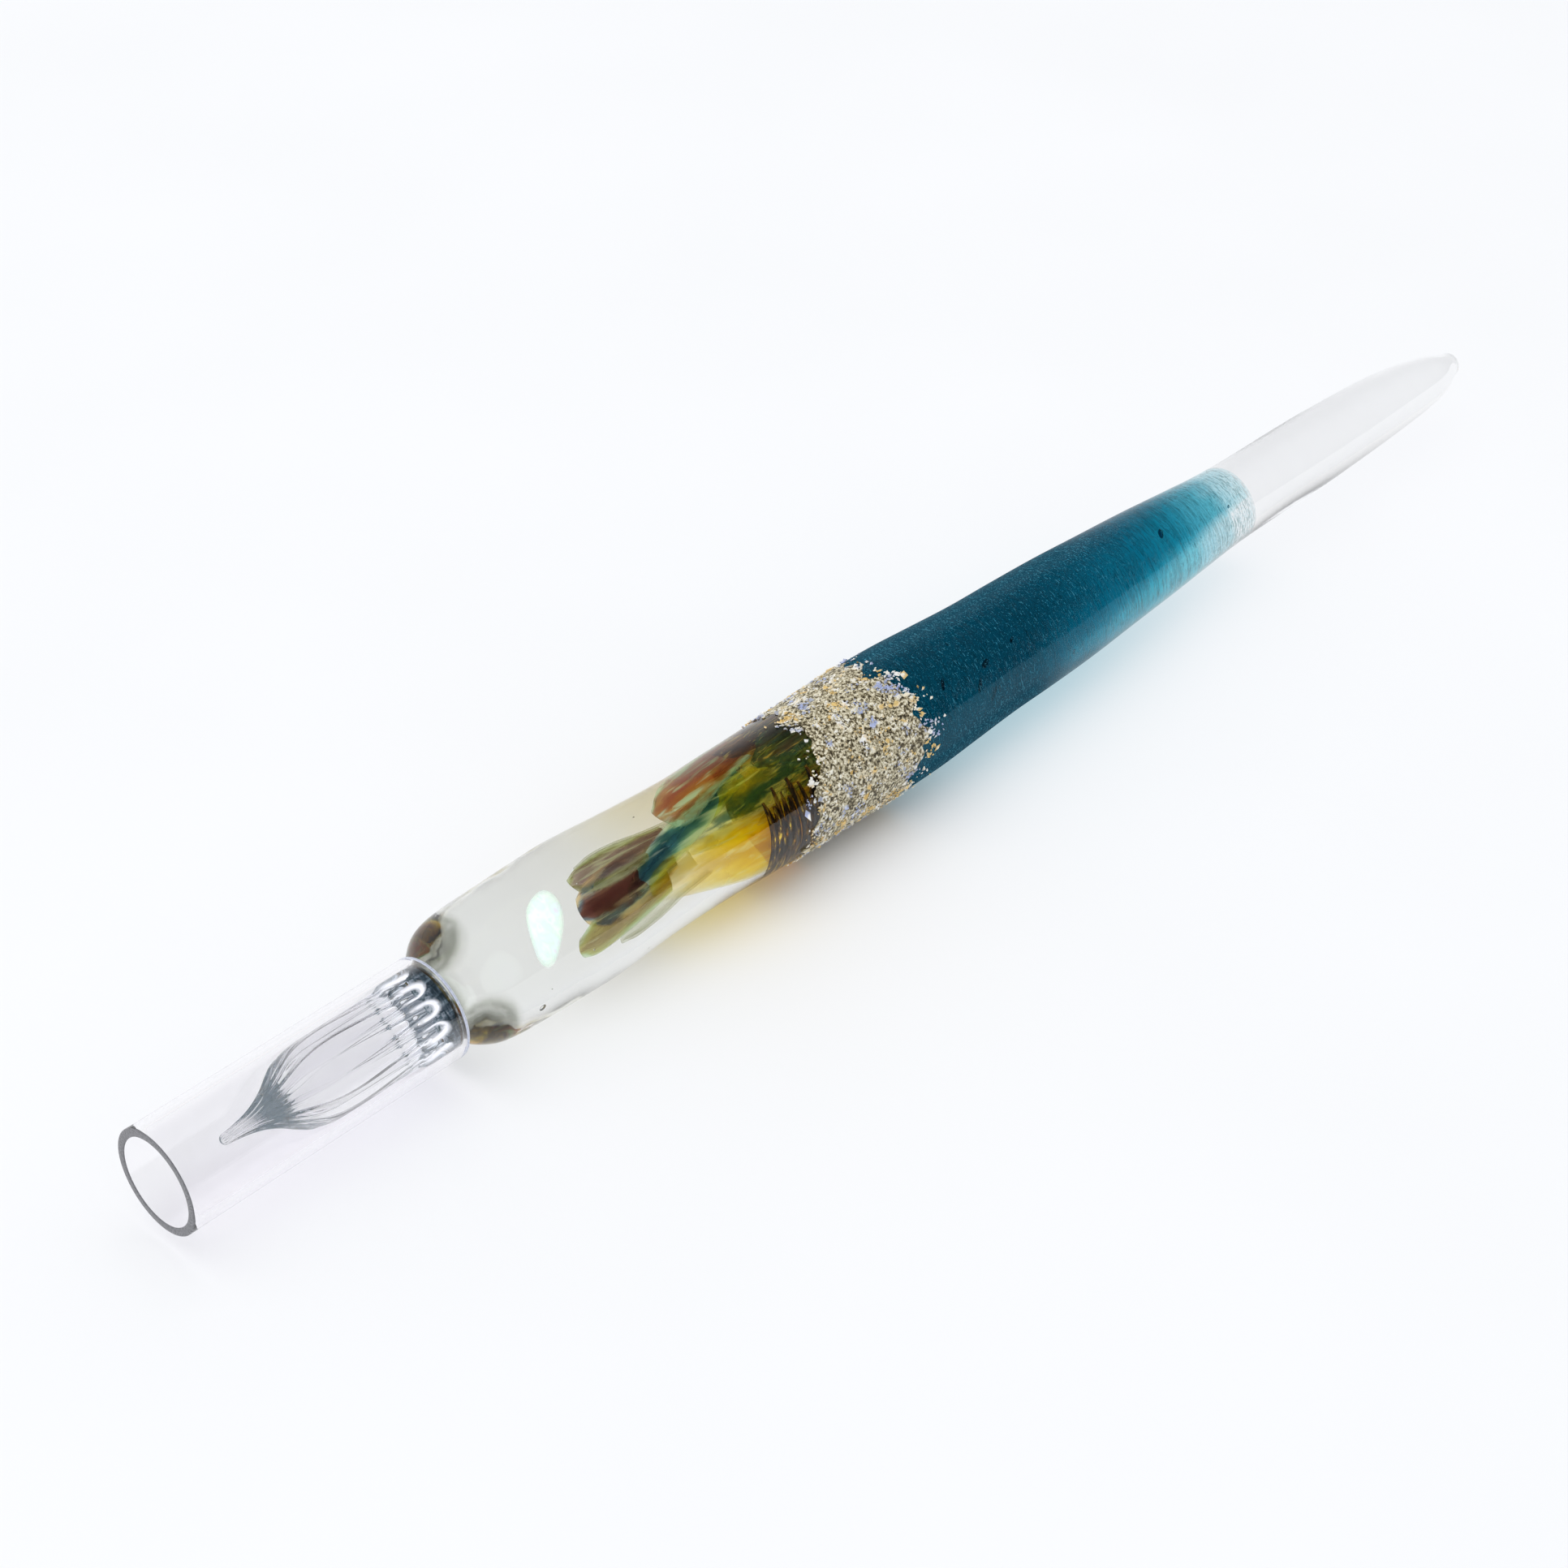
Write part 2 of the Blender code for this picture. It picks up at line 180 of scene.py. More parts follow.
def add_pole(points, faces, values, ring, station):
    """Closes a ring of the lathe with one vertex on the axis."""
    columns = len(ring)
    pole = len(points)
    points = np.vstack([points, pen_points(station, 0.0, 0.0)[None, :]])
    at_front = station <= (points[ring[0]][0] - FRONT)
    fan = [(pole, ring[(k + 1) % columns], ring[k]) for k in range(columns)]
    a, b, c = (points[i] for i in fan[0])
    facing = np.cross(b - a, c - a)[0]
    if (facing < 0) != at_front:
        fan = [f[::-1] for f in fan]
    return points, faces + fan, more_values(values, 1, station / MM, 0.0)


# ---- material helpers


WHITE = (1.0, 1.0, 1.0, 1.0)


class Paint:
    """The nodes of a material or a world, made by short calls.  An input is a value or a node's socket."""

    def __init__(self, name, world=False):
        self.owner = (bpy.data.worlds if world else bpy.data.materials).new(name)
        self.owner.use_nodes = True
        self.tree = self.owner.node_tree
        self.tree.nodes.clear()
        self.out = self.tree.nodes.new("ShaderNodeOutputWorld" if world else "ShaderNodeOutputMaterial")

    def node(self, kind, inputs=None, **settings):
        made = self.tree.nodes.new("ShaderNode" + kind)
        for key, value in settings.items():
            setattr(made, key, value)
        for key, value in (inputs or {}).items():
            if isinstance(value, bpy.types.NodeSocket):
                self.tree.links.new(value, made.inputs[key])
            else:
                made.inputs[key].default_value = value
        return made

    def place(self, scale=(1, 1, 1)):
        """Object coordinates, in millimetres times a scale for each axis."""
        coordinates = self.node("TexCoord")
        factors = tuple(k / MM for k in scale)
        return self.node("Mapping", {"Vector": coordinates.outputs["Object"], "Scale": factors}).outputs[0]

    def value(self, name):
        return self.node("Attribute", attribute_name=name).outputs["Fac"]

    def noise(self, vector, scale, detail=2.0, roughness=0.5, distortion=0.0):
        inputs = {"Vector": vector, "Scale": scale, "Detail": detail}
        inputs |= {"Roughness": roughness, "Distortion": distortion}
        return self.node("TexNoise", inputs).outputs["Fac"]

    def math(self, operation, a, b=0.0):
        return self.node("Math", {0: a, 1: b}, operation=operation).outputs[0]

    def times(self, a, b):
        return self.math("MULTIPLY", a, b)

    def spread(self, value, low, high, to_low=0.0, to_high=1.0, curve="LINEAR"):
        inputs = {"Value": value, "From Min": low, "From Max": high, "To Min": to_low, "To Max": to_high}
        return self.node("MapRange", inputs, interpolation_type=curve).outputs["Result"]

    def centred(self, value, times):
        """A noise's distance from its middle, times a factor."""
        return self.times(self.math("SUBTRACT", value, 0.5), times)

    def ramp(self, value, stops):
        """A colour ramp through stops of a position and linear light."""
        made = self.node("ValToRGB", {"Fac": value})
        band = made.color_ramp
        while len(band.elements) < len(stops):
            band.elements.new(0.5)
        for element, (position, light) in zip(band.elements, stops):
            element.position = position
            element.color = (*light, 1.0)
        return made.outputs["Color"]

    def seen_ramp(self, value, stops):
        """A colour ramp whose colours are given as the eye sees them, from 0 to 255."""
        return self.ramp(value, [(position, colour(*shade)) for position, shade in stops])

    def blend(self, factor, a, b, how="MIX"):
        made = self.node("Mix", {0: factor, 6: a, 7: b}, data_type="RGBA", blend_type=how)
        return made.outputs[2]

    def bump(self, height, distance):
        return self.node("Bump", {"Height": height, "Distance": distance, "Strength": 1.0}).outputs[0]

    def shader(self, kind, inputs):
        return self.node("Bsdf" + kind, inputs).outputs[0]

    def mix(self, factor, a, b):
        return self.node("MixShader", {0: factor, 1: a, 2: b}).outputs[0]

    def facing(self, low, high, to_low=0.0, to_high=1.0):
        """How far a face turns away from the eye, spread between two limits."""
        facing = self.node("LayerWeight", {"Blend": 0.5}).outputs["Facing"]
        return self.spread(facing, low, high, to_low, to_high)

    def finish(self, shader):
        self.tree.links.new(shader, self.out.inputs["Surface"])
        return self.owner

    def finish_solid(self, inputs):
        return self.finish(self.shader("Principled", inputs))

    def finish_glass(self, inputs, shade, edge=0.6, over=None):
        """Smooth glass that lets a lamp's light through to the floor and to the pieces inside it."""
        smooth = {"Roughness": 0.0, "IOR": GLASS_IOR, "Specular IOR Level": 0.3, "Transmission Weight": 1.0}
        glass = self.shader("Principled", smooth | inputs)
        if over:
            glass = self.mix(over[0], glass, over[1])
        thin = self.blend(self.facing(0.45, 0.95), WHITE, (edge, edge, edge, 1.0))
        return self.finish_passing(glass, self.blend(1.0, thin, shade, "MULTIPLY"))

    def finish_passing(self, seen, tint):
        """A surface that light for the floor and the pieces inside goes straight through, tinted."""
        path = self.node("LightPath").outputs
        passed = self.shader("Transparent", {"Color": tint})
        seen = self.mix(path["Is Diffuse Ray"], seen, passed)
        return self.finish(self.mix(path["Is Shadow Ray"], seen, passed))


def colour(r, g, b):
    """A colour given as the eye sees it, from 0 to 255, as linear light."""
    def linear(v):
        v /= 255
        return v / 12.92 if v <= 0.04045 else ((v + 0.055) / 1.055) ** 2.4
    return linear(r), linear(g), linear(b)


def rgba(r, g, b):
    return (*colour(r, g, b), 1.0)


# ---- materials


def clear_glass(name, tint, shadow, wave, edge, outline=None):
    """Clear glass with the faint waviness of flame work, and perhaps a tint where it turns away."""
    p = Paint(name)
    ripple = p.noise(p.place((0.25, 0.8, 0.8)), 1.0, 2.0)
    fine = p.noise(p.place(), 0.7, 1.0)
    shade = p.blend(p.spread(fine, 0.3, 0.7), (*tint, 1.0), (*(0.985 * c for c in tint), 1.0))
    if outline:
        shade = p.blend(p.facing(0.80, 0.96), shade, (*outline, 1.0))
    return p.finish_glass({"Base Color": shade, "Normal": p.bump(ripple, wave * MM)}, (*shadow, 1.0), edge)


def barrel_material():
    """The barrel's clear glass, with painted shade at the shoulder; light passing beside the flower turns
    amber.
    """
    p = Paint("barrel_clear_glass")
    warp = p.noise(p.place(), 0.55, 2.0)
    ripple = p.noise(p.place((0.25, 0.8, 0.8)), 1.0, 2.0)
    # painted shade: dark swirled patches on the shoulder, where dark surroundings show in the glass
    painted_shade = p.value("painted_shade")
    rings = p.math("SINE", p.math("ADD", p.times(painted_shade, 16.0), p.times(warp, 7.0)))
    depth = p.times(p.spread(painted_shade, 0.0, 0.5), p.spread(rings, -1.0, 1.0, 0.6, 1.0))
    painted_shade_swirl = p.ramp(depth, [
        (0.00, (0.90, 0.91, 0.892)), (0.35, (0.46, 0.48, 0.42)), (0.62, (0.17, 0.18, 0.145)),
        (1.00, (0.08, 0.085, 0.062)),
    ])
    passing = p.blend(p.value("warm"), (0.97, 0.965, 0.95, 1.0), (1.0, 0.90, 0.46, 1.0))
    return p.finish_glass({"Base Color": painted_shade_swirl, "Normal": p.bump(ripple, 0.006 * MM)}, passing, 0.75)


def nib_material():
    """The nib's clear glass: painted shade between the grooves' scooped ends, painted white highlights on
    their lips.
    """
    p = Paint("nib_clear_glass")
    streak = p.noise(p.place((0.3, 2.2, 2.2)), 1.0, 3.0, 0.6, 0.4)
    # painted shade: the skin behind the grooves darkened, in streaks
    dark = p.times(p.value("dark"), p.spread(streak, 0.36, 0.58, 0.45, 1.0))
    shade = p.ramp(dark, [
        (0.00, (0.992, 0.996, 1.0)), (0.40, (0.56, 0.62, 0.68)), (0.75, (0.11, 0.14, 0.175)),
        (1.00, (0.03, 0.045, 0.06)),
    ])
    ripple = p.noise(p.place((0.3, 1.2, 1.2)), 1.0, 1.0)
    # painted highlight: a pale shader that glows by emission, laid on the grooves' lips
    lit = {"Base Color": (0.93, 0.95, 0.98, 1.0), "Roughness": 0.3}
    lit |= {"Emission Color": (0.93, 0.95, 1.0, 1.0), "Emission Strength": 0.4}
    loop_highlight = p.times(p.value("loop_highlight"), p.spread(streak, 0.30, 0.50, 0.55, 1.0))
    inputs = {"Base Color": shade, "Normal": p.bump(ripple, 0.001 * MM)}
    return p.finish_glass(inputs, (0.985, 0.985, 0.99, 1.0), 0.8, (loop_highlight, p.shader("Principled", lit)))


def cut_edge_material(name, dark, light):
    """An end of the guard tube, lightly ground or fired smooth."""
    p = Paint(name)
    grain = p.noise(p.place(), 6.0, 3.0, 0.6)
    inputs = {"Base Color": p.seen_ramp(grain, [(0.3, dark), (0.7, light)]), "IOR": GLASS_IOR}
    inputs |= {"Roughness": p.spread(grain, 0.3, 0.7, 0.15, 0.4), "Normal": p.bump(grain, 0.02 * MM)}
    return p.finish_solid(inputs)


def teal_material():
    """Blue-green powder melted into the surface: deep at the frit, fading to clear at the rear."""
    p = Paint("teal_glass")
    cloud = p.noise(p.place((0.12, 0.3, 0.3)), 1.0, 3.0, 0.55)
    fade = p.spread(p.math("ADD", p.value("reach"), p.centred(cloud, 7.0)), 68.0, 138.0)
    base = p.ramp(fade, [
        (0.00, (0.0012, 0.072, 0.118)), (0.30, (0.0012, 0.078, 0.130)), (0.48, (0.0012, 0.062, 0.108)),
        (0.58, (0.0014, 0.105, 0.172)), (0.67, (0.0016, 0.160, 0.262)), (0.77, (0.0030, 0.215, 0.340)),
        (0.86, (0.050, 0.45, 0.60)), (0.96, (0.55, 0.83, 0.89)), (1.00, (0.86, 0.94, 0.96)),
    ])
    dash = p.noise(p.place((8.0, 1.1, 1.1)), 1.0, 2.0, 0.6, 0.3)
    area = p.noise(p.place((0.2, 0.3, 0.3)), 1.0, 1.0)
    streak = p.spread(p.math("ADD", dash, p.times(area, 0.22)), 0.655, 0.71)
    grain = p.noise(p.place(), 5.0, 2.0, 0.7)
    speckled = p.blend(p.spread(grain, 0.40, 0.66, 0.0, 0.85), base, (0.40, 0.66, 0.73, 1.0), "MULTIPLY")
    streaked = p.blend(p.times(streak, 0.85), speckled, (0.20, 0.30, 0.30, 1.0), "MULTIPLY")
    end = p.math("ADD", p.value("along"), p.centred(dash, 1.6))
    cleared = p.blend(p.spread(end, 134.4, 135.6), streaked, (0.97, 0.98, 0.98, 1.0))
    height = p.math("ADD", grain, p.times(streak, 2.0))
    inputs = {"Base Color": cleared, "Roughness": 0.02, "Normal": p.bump(height, 0.004 * MM)}
    inputs |= {"Specular Tint": (0.12, 0.55, 0.72, 1.0), "Specular IOR Level": 0.2}
    shadow = p.ramp(fade, [(0.0, (0.52, 0.66, 0.70)), (0.6, (0.66, 0.80, 0.84)), (1.0, (0.93, 0.95, 0.96))])
    pits = p.noise(p.place(), 7.0, 1.0, 0.6)
    nicks = p.noise(p.place((9.0, 1.3, 1.3)), 1.0, 1.0, 0.6, 0.4)
    specks = p.math("MAXIMUM", p.spread(pits, 0.60, 0.74, 0.0, 0.55), p.spread(nicks, 0.66, 0.72, 0.0, 0.7))
    specks = p.times(specks, p.spread(fade, 0.85, 0.60))
    surface = p.blend(p.spread(specks, 0.0, 0.3), (0.0015, 0.052, 0.088, 1.0), (0.050, 0.23, 0.32, 1.0))
    rim = p.times(p.facing(0.22, 0.62, 0.0, 0.9), p.spread(fade, 0.92, 0.60))
    over = (p.math("MAXIMUM", rim, specks), p.shader("Diffuse", {"Color": surface}))
    return p.finish_glass(inputs, shadow, over=over)


def opal_material():
    """Milky opal: mint white with a play of pale colours, a painted glow and a soft, clearer rim."""
    p = Paint("opal")
    cells = p.node("TexVoronoi", {"Vector": p.place(), "Scale": 1.3, "Randomness": 1.0})
    play = p.noise(p.place(), 0.9, 3.0)
    flash = p.seen_ramp(p.math("ADD", p.times(play, 0.8), p.times(cells.outputs["Distance"], 0.25)), [
        (0.30, (238, 228, 246)), (0.42, (236, 250, 255)), (0.50, (232, 255, 242)), (0.62, (248, 255, 250)),
        (0.75, (218, 252, 236)),
    ])
    # painted glow: emission keeps the opal bright where little light reaches it inside the glass
    painted_glow = {"Base Color": flash, "Roughness": 0.35, "Emission Color": flash, "Emission Strength": 0.40}
    milk = p.mix(0.4, p.shader("Principled", painted_glow), p.shader("Translucent", {"Color": flash}))
    clear = p.shader("Transparent", {"Color": WHITE})
    return p.finish(p.mix(p.spread(p.value("rim"), 0.72, 1.0, 0.12, 0.75), milk, clear))


def veil(p, shade, body_share):
    """Coloured glass too thin to bend light: part of what is behind shows through its two tinted sides."""
    half = p.node("Gamma", {"Color": shade, "Gamma": 0.5}).outputs[0]
    body = p.mix(0.5, p.shader("Diffuse", {"Color": shade}), p.shader("Translucent", {"Color": shade}))
    return p.mix(body_share, p.shader("Transparent", {"Color": half}), body)


# Each veil's colours as the eye sees them (its heart, middle, rim and edge line), how much body it has and
# how far its tip fades into the clear glass
VEILS = {
    "mauve": ((146, 120, 112), (184, 164, 154), (168, 168, 112), (220, 226, 190), 0.35, 0.0),
    "plum": ((104, 60, 54), (138, 98, 84), (140, 160, 168), (240, 222, 182), 0.35, 0.0),
    "olive": ((176, 160, 112), (196, 188, 130), (200, 206, 138), (220, 238, 206), 0.35, 0.0),
    "pale": ((206, 206, 186), (222, 222, 206), (232, 234, 220), (244, 248, 240), 0.15, 0.0),
    "blue": ((60, 112, 130), (90, 146, 150), (160, 206, 186), (232, 252, 242), 0.45, 0.0),
    "orange": ((170, 84, 44), (192, 138, 62), (184, 156, 96), (206, 240, 222), 0.4, 0.3),
    "green": ((84, 124, 78), (160, 164, 52), (214, 204, 50), (232, 238, 150), 0.3, 0.5),
    "yellow": ((236, 200, 20), (255, 226, 14), (252, 230, 60), (250, 244, 170), 0.4, 0.95),
    "brown": ((74, 52, 44), (134, 96, 50), (182, 150, 62), (220, 208, 130), 0.45, 0.4),
}


def veil_material(name):
    """A veil of coloured glass: dark heart, lighter rim, pale edge line, with flow lines along it."""
    p = Paint(name + "_veil")
    *shades, body, tip_haze = VEILS[name]
    heart, middle, rim, edge = (colour(*shade) for shade in shades)
    across = p.math("ABSOLUTE", p.value("across"))
    along = p.value("along")
    flow = p.noise(p.place((0.35, 1.0, 1.0)), 1.0, 2.0, 0.5, 0.8)
    line = p.noise(p.place((0.11, 1.9, 1.9)), 1.0, 2.0, 0.55, 0.5)
    out = p.math("ADD", across, p.centred(flow, 0.8))
    reach = p.math("ADD", out, p.spread(along, 0.0, 0.18, 0.4, 0.0))
    shade = p.ramp(reach, [(0.05, heart), (0.42, middle), (0.70, rim), (0.92, edge)])
    lit = p.blend(p.spread(line, 0.54, 0.66, 0.0, 0.8), shade, (*edge, 1.0))
    dark = p.blend(p.spread(line, 0.47, 0.35, 0.0, 0.7), lit, (*heart, 1.0))
    haze = p.math("MAXIMUM", p.spread(across, 0.88, 1.0, 0.0, 0.7), p.spread(reach, 1.0, 1.5))
    haze = p.math("MAXIMUM", haze, p.spread(along, 0.0, 0.6, tip_haze, 0.0))
    passing = p.node("Gamma", {"Color": dark, "Gamma": 0.8}).outputs[0]
    clear = p.shader("Transparent", {"Color": WHITE})
    return p.finish_passing(p.mix(haze, veil(p, dark, body), clear), passing)


def calyx_material():
    """The gathered colours behind the flower, drawn out in streaks along the pen."""
    p = Paint("gathered_colours")
    streak = p.noise(p.place((0.09, 1.3, 1.3)), 1.0, 3.0, 0.6, 0.6)
    fine = p.noise(p.place((0.13, 3.2, 3.2)), 1.0, 2.0, 0.6, 0.4)
    turn = p.math("ADD", p.value("around"), p.centred(streak, 2.8))
    shade = p.seen_ramp(p.spread(turn, -math.pi, math.pi), [
        (0.10, (236, 214, 120)), (0.24, (110, 74, 62)), (0.33, (96, 104, 92)), (0.41, (80, 124, 96)),
        (0.49, (112, 140, 62)), (0.57, (150, 128, 44)), (0.64, (226, 184, 40)), (0.74, (255, 236, 30)),
        (0.86, (250, 214, 90)), (0.95, (240, 220, 130)),
    ])
    dark = p.blend(p.spread(fine, 0.50, 0.38, 0.0, 0.7), shade, rgba(34, 34, 26))
    lit = p.blend(p.spread(fine, 0.56, 0.66, 0.0, 0.7), dark, rgba(222, 204, 96))
    return p.finish_passing(veil(p, lit, 0.45), (1.0, 0.62, 0.06, 1.0))


def thread_material():
    """Dark glass threads with painted gold highlights for glints."""
    p = Paint("dark_threads")
    painted_glint = p.noise(p.place((3.0, 0.8, 0.8)), 1.0, 2.0, 0.6)
    # painted highlight: bright gold patches where light shows between the threads
    shade = p.seen_ramp(painted_glint, [(0.46, (24, 14, 6)), (0.58, (84, 54, 10)), (0.68, (250, 214, 84))])
    return p.finish_solid({"Base Color": shade, "Roughness": 0.25, "Metallic": p.spread(painted_glint, 0.5, 0.66)})


def frit_ground_material():
    """The melted bed that the crushed glass sits in."""
    p = Paint("frit_bed")
    grain = p.noise(p.place(), 3.4, 4.0, 0.7)
    stops = [(0.38, (44, 36, 22)), (0.46, (104, 92, 62)), (0.54, (206, 196, 164)), (0.64, (240, 236, 220))]
    shade = p.seen_ramp(grain, stops)
    return p.finish_solid({"Base Color": shade, "Roughness": 0.55, "Normal": p.bump(grain, 0.12 * MM)})


def frit_grain_material():
    """Crushed silver glass: each grain has its own tone, with gold and lilac patches."""
    p = Paint("frit_grains")
    tone = p.value("tone")
    patch = p.noise(p.place(), 0.45, 2.0, 0.5)
    shade = p.seen_ramp(tone, [
        (0.00, (92, 76, 50)), (0.14, (176, 158, 116)), (0.26, (230, 220, 190)), (0.50, (243, 238, 220)),
        (0.78, (244, 242, 232)), (0.95, (255, 254, 250)),
    ])
    gold = p.blend(p.spread(patch, 0.52, 0.58, 0.0, 0.9), shade, rgba(238, 204, 124), "MULTIPLY")
    lilac = p.blend(p.spread(patch, 0.47, 0.41, 0.0, 1.0), gold, rgba(184, 196, 238), "MULTIPLY")
    mottle = p.noise(p.place(), 7.0, 2.0, 0.6)
    worn = p.blend(p.spread(mottle, 0.45, 0.3, 0.0, 0.4), lilac, rgba(84, 76, 56))
    inputs = {"Base Color": worn, "Roughness": p.spread(tone, 0.0, 1.0, 0.6, 0.28)}
    inputs |= {"Metallic": p.spread(tone, 0.4, 1.0, 0.0, 0.2), "Normal": p.bump(mottle, 0.03 * MM)}
    return p.finish_solid(inputs)


# ---- the pen's outside


BODY_PROFILE = [
    (29.35, 4.50), (30.3, 5.28), (31.6, 5.86), (33.9, 6.18), (36.2, 6.27), (38.5, 6.36), (41.5, 6.45),
    (44.5, 6.52), (47.0, 6.42), (50.4, 6.22), (55.4, 6.06), (59.2, 6.03), (63.0, 6.16), (68.3, 6.26),
    (73.7, 6.29), (79.2, 6.44), (82.0, 6.48), (86.0, 6.42), (90.6, 6.18), (96.5, 5.89), (102.5, 5.79),
    (108.7, 5.62), (115.0, 5.27), (121.6, 4.89), (128.2, 4.40), (133.0, 4.07), (138.6, 3.93), (149.0, 3.90),
    (153.0, 3.82), (160.5, 3.57), (164.3, 3.33), (168.2, 2.96), (172.1, 2.31), (174.8, 1.43),
]
NECK_RADIUS = 3.55 * MM
LEAN_UP = [
    (27.9, 0.0), (29.2, 0.5), (30.4, 0.55), (32.0, 0.44), (38.0, 0.34), (50.0, 0.30), (58.0, 0.12),
    (66.0, 0.0),
]


def body_radius(stations, angles):
    """The hand-worked outside: the turned curve, leaning up in front and very slightly out of round."""
    s = np.asarray(stations) / MM
    start, tail = BODY_PROFILE[0], BODY_PROFILE[-1]
    neck, seat_end, length = NECK_RADIUS / MM, SEAT_END / MM, LENGTH / MM
    radius = smooth_curve(BODY_PROFILE, s)
    dip = np.clip((s - seat_end) / (start[0] - seat_end), 0, 1)
    radius = np.where(s < start[0], neck + (start[1] - neck) * dip**1.7, radius)
    left = np.clip((length - s) / (length - tail[0]), 0, 1)
    radius = np.where(s > tail[0], tail[1] * np.sqrt(1 - (1 - left) ** 2), radius)
    radius = radius * (1 + 0.16 * np.clip((s - 160) / 13, 0, 1) ** 2 * np.sin(angles))
    radius = radius - smooth_curve(LEAN_UP, s) * np.sin(angles)
    fade = np.clip((s - 33) / 6, 0, 1) * np.clip((length - s) / 30, 0, 1)
    wobble = 0.035 * np.cos(2 * angles + 0.11 * s) + 0.02 * np.cos(3 * angles - 0.17 * s)
    return (radius + wobble * fade) * MM


def bubbles(points, faces, values, places):
    """Adds bubbles to a glass skin: hollow ellipsoids whose faces look inwards.

    Each place is a station, a radius, an angle, two half widths (along the bubble and across) and a lean.
    """
    columns, rows = 12, 7
    for station, radius, angle, long, wide, lean in places:
        centre = pen_points(station * MM, radius * MM, angle)
        up = (pen_points(station * MM, radius * MM + MM, angle) - centre) / MM
        ahead = np.array([math.cos(lean), 0.0, 0.0]) + math.sin(lean) * np.cross(up, [1.0, 0.0, 0.0])
        side = np.cross(up, ahead)
        skin = []
        for i in range(rows):
            t = math.pi * (i + 1) / (rows + 1)
            for k in range(columns):
                a = TURN * k / columns
                out = (up * math.cos(a) + side * math.sin(a)) * wide * MM * math.sin(t)
                skin.append(centre + ahead * long * MM * math.cos(t) + out)
        skin += [centre + ahead * long * MM, centre - ahead * long * MM]
        added = faced(skin, ball_faces(rows, columns), centre, inwards=True)
        faces = faces + [tuple(len(points) + v for v in f) for f in added]
        points = np.vstack([points, np.array(skin)])
        values = more_values(values, len(skin), station, angle)
    return points, faces, values


def make_guard_tube():
    """Clear tube with softened, faintly uneven cut ends; the end faces have a ground finish."""
    bore, lip, steps = 3.97 * MM, 0.12 * MM, 40
    wall_middle = (GUARD_RADIUS + bore) / 2
    straight = GUARD_END - 2 * lip
    outer, inner = GUARD_RADIUS - lip, bore + lip

    def corner(station, radius, turn0, turn1):
        turns = np.linspace(turn0, turn1, 5)[1:-1]
        return [(station + lip * math.sin(t), radius + lip * math.cos(t)) for t in turns]

    outside = [(lip + straight * i / steps, GUARD_RADIUS) for i in range(steps + 1)]
    rear = corner(GUARD_END - lip, outer, 0, math.pi / 2)
    rear += [(GUARD_END, outer), (GUARD_END, wall_middle), (GUARD_END, inner)]
    rear += corner(GUARD_END - lip, inner, math.pi / 2, math.pi)
    inside = [(GUARD_END - lip - straight * i / steps, bore) for i in range(steps + 1)]
    front = corner(lip, inner, math.pi, 1.5 * math.pi)
    front += [(0.0, inner), (0.0, wall_middle), (0.0, outer)]
    front += corner(lip, outer, 1.5 * math.pi, TURN)
    outline = np.array(outside + rear + inside + front)
    rows, columns = len(outline), 2 * AROUND
    angles = np.arange(columns) * TURN / columns
    s, a = np.meshgrid(outline[:, 0], angles, indexing="ij")
    r = np.repeat(outline[:, 1][:, None], columns, axis=1)
    slant = 0.10 * MM * (1 + np.cos(a + 0.6)) * np.clip(1 - s / (6 * MM), 0, 1)
    points = pen_points(s + slant, r, a).reshape(-1, 3)
    faces, kinds = [], []
    for i in range(rows):
        n = (i + 1) % rows
        sawn = rows - len(front) <= i < rows - 1
        fired = len(outside) <= i < len(outside) + len(rear) - 1
        for k in range(columns):
            m = (k + 1) % columns
            faces.append((i * columns + k, i * columns + m, n * columns + m, n * columns + k))
            kinds.append(1 if sawn else 2 if fired else 0)
    faces = faced(points, faces, pen_points(lip, 0.0, 0.0))
    tint, shadow, outline_tint = (0.996, 0.990, 1.0), (0.992, 0.985, 0.996), (0.70, 0.68, 0.76)
    glass = clear_glass("guard_glass", tint, shadow, 0.0004, 0.92, outline_tint)
    piece = new_piece("guard_tube_glass", points, faces, glass, "guard", ("guard_tube",))
    piece.data.materials.append(cut_edge_material("guard_cut_edge", (96, 96, 100), (126, 126, 130)))
    piece.data.materials.append(cut_edge_material("guard_fired_edge", (196, 204, 224), (232, 238, 250)))
    piece.data.polygons.foreach_set("material_index", kinds)


RIB_COUNT = 12
RIB_COLUMNS = 20
RIB_RADIUS = 3.57 * MM
SEAT_RADIUS = 3.9 * MM
GROOVE_END = 25.5 * MM
SEAT_RISE = SEAT_START - 1.0 * MM
TIP_ROUND = 0.45 * MM
FLARE_END = 14.2 * MM
# Radii, and the grooves' depths as a share of them, at distances from the nib's tip
NIB_PROFILE = [
    (0.0, 0.46), (0.6, 0.50), (1.6, 0.62), (2.8, 0.84), (3.9, 1.2), (5.2, 1.85), (6.3, 2.6), (7.3, 3.2),
    (8.6, 3.5), (10.5, 3.57), (17.0, 3.57),
]
GROOVE_DEPTHS = [(0.0, 0.0), (1.2, 0.24), (6.0, 0.22), (8.5, 0.07), (15.0, 0.07), (19.5, 0.18)]
SEAT_CURVE = [(0.0, 0.0), (0.35, 0.12), (0.65, 0.82), (1.0, 1.0)]


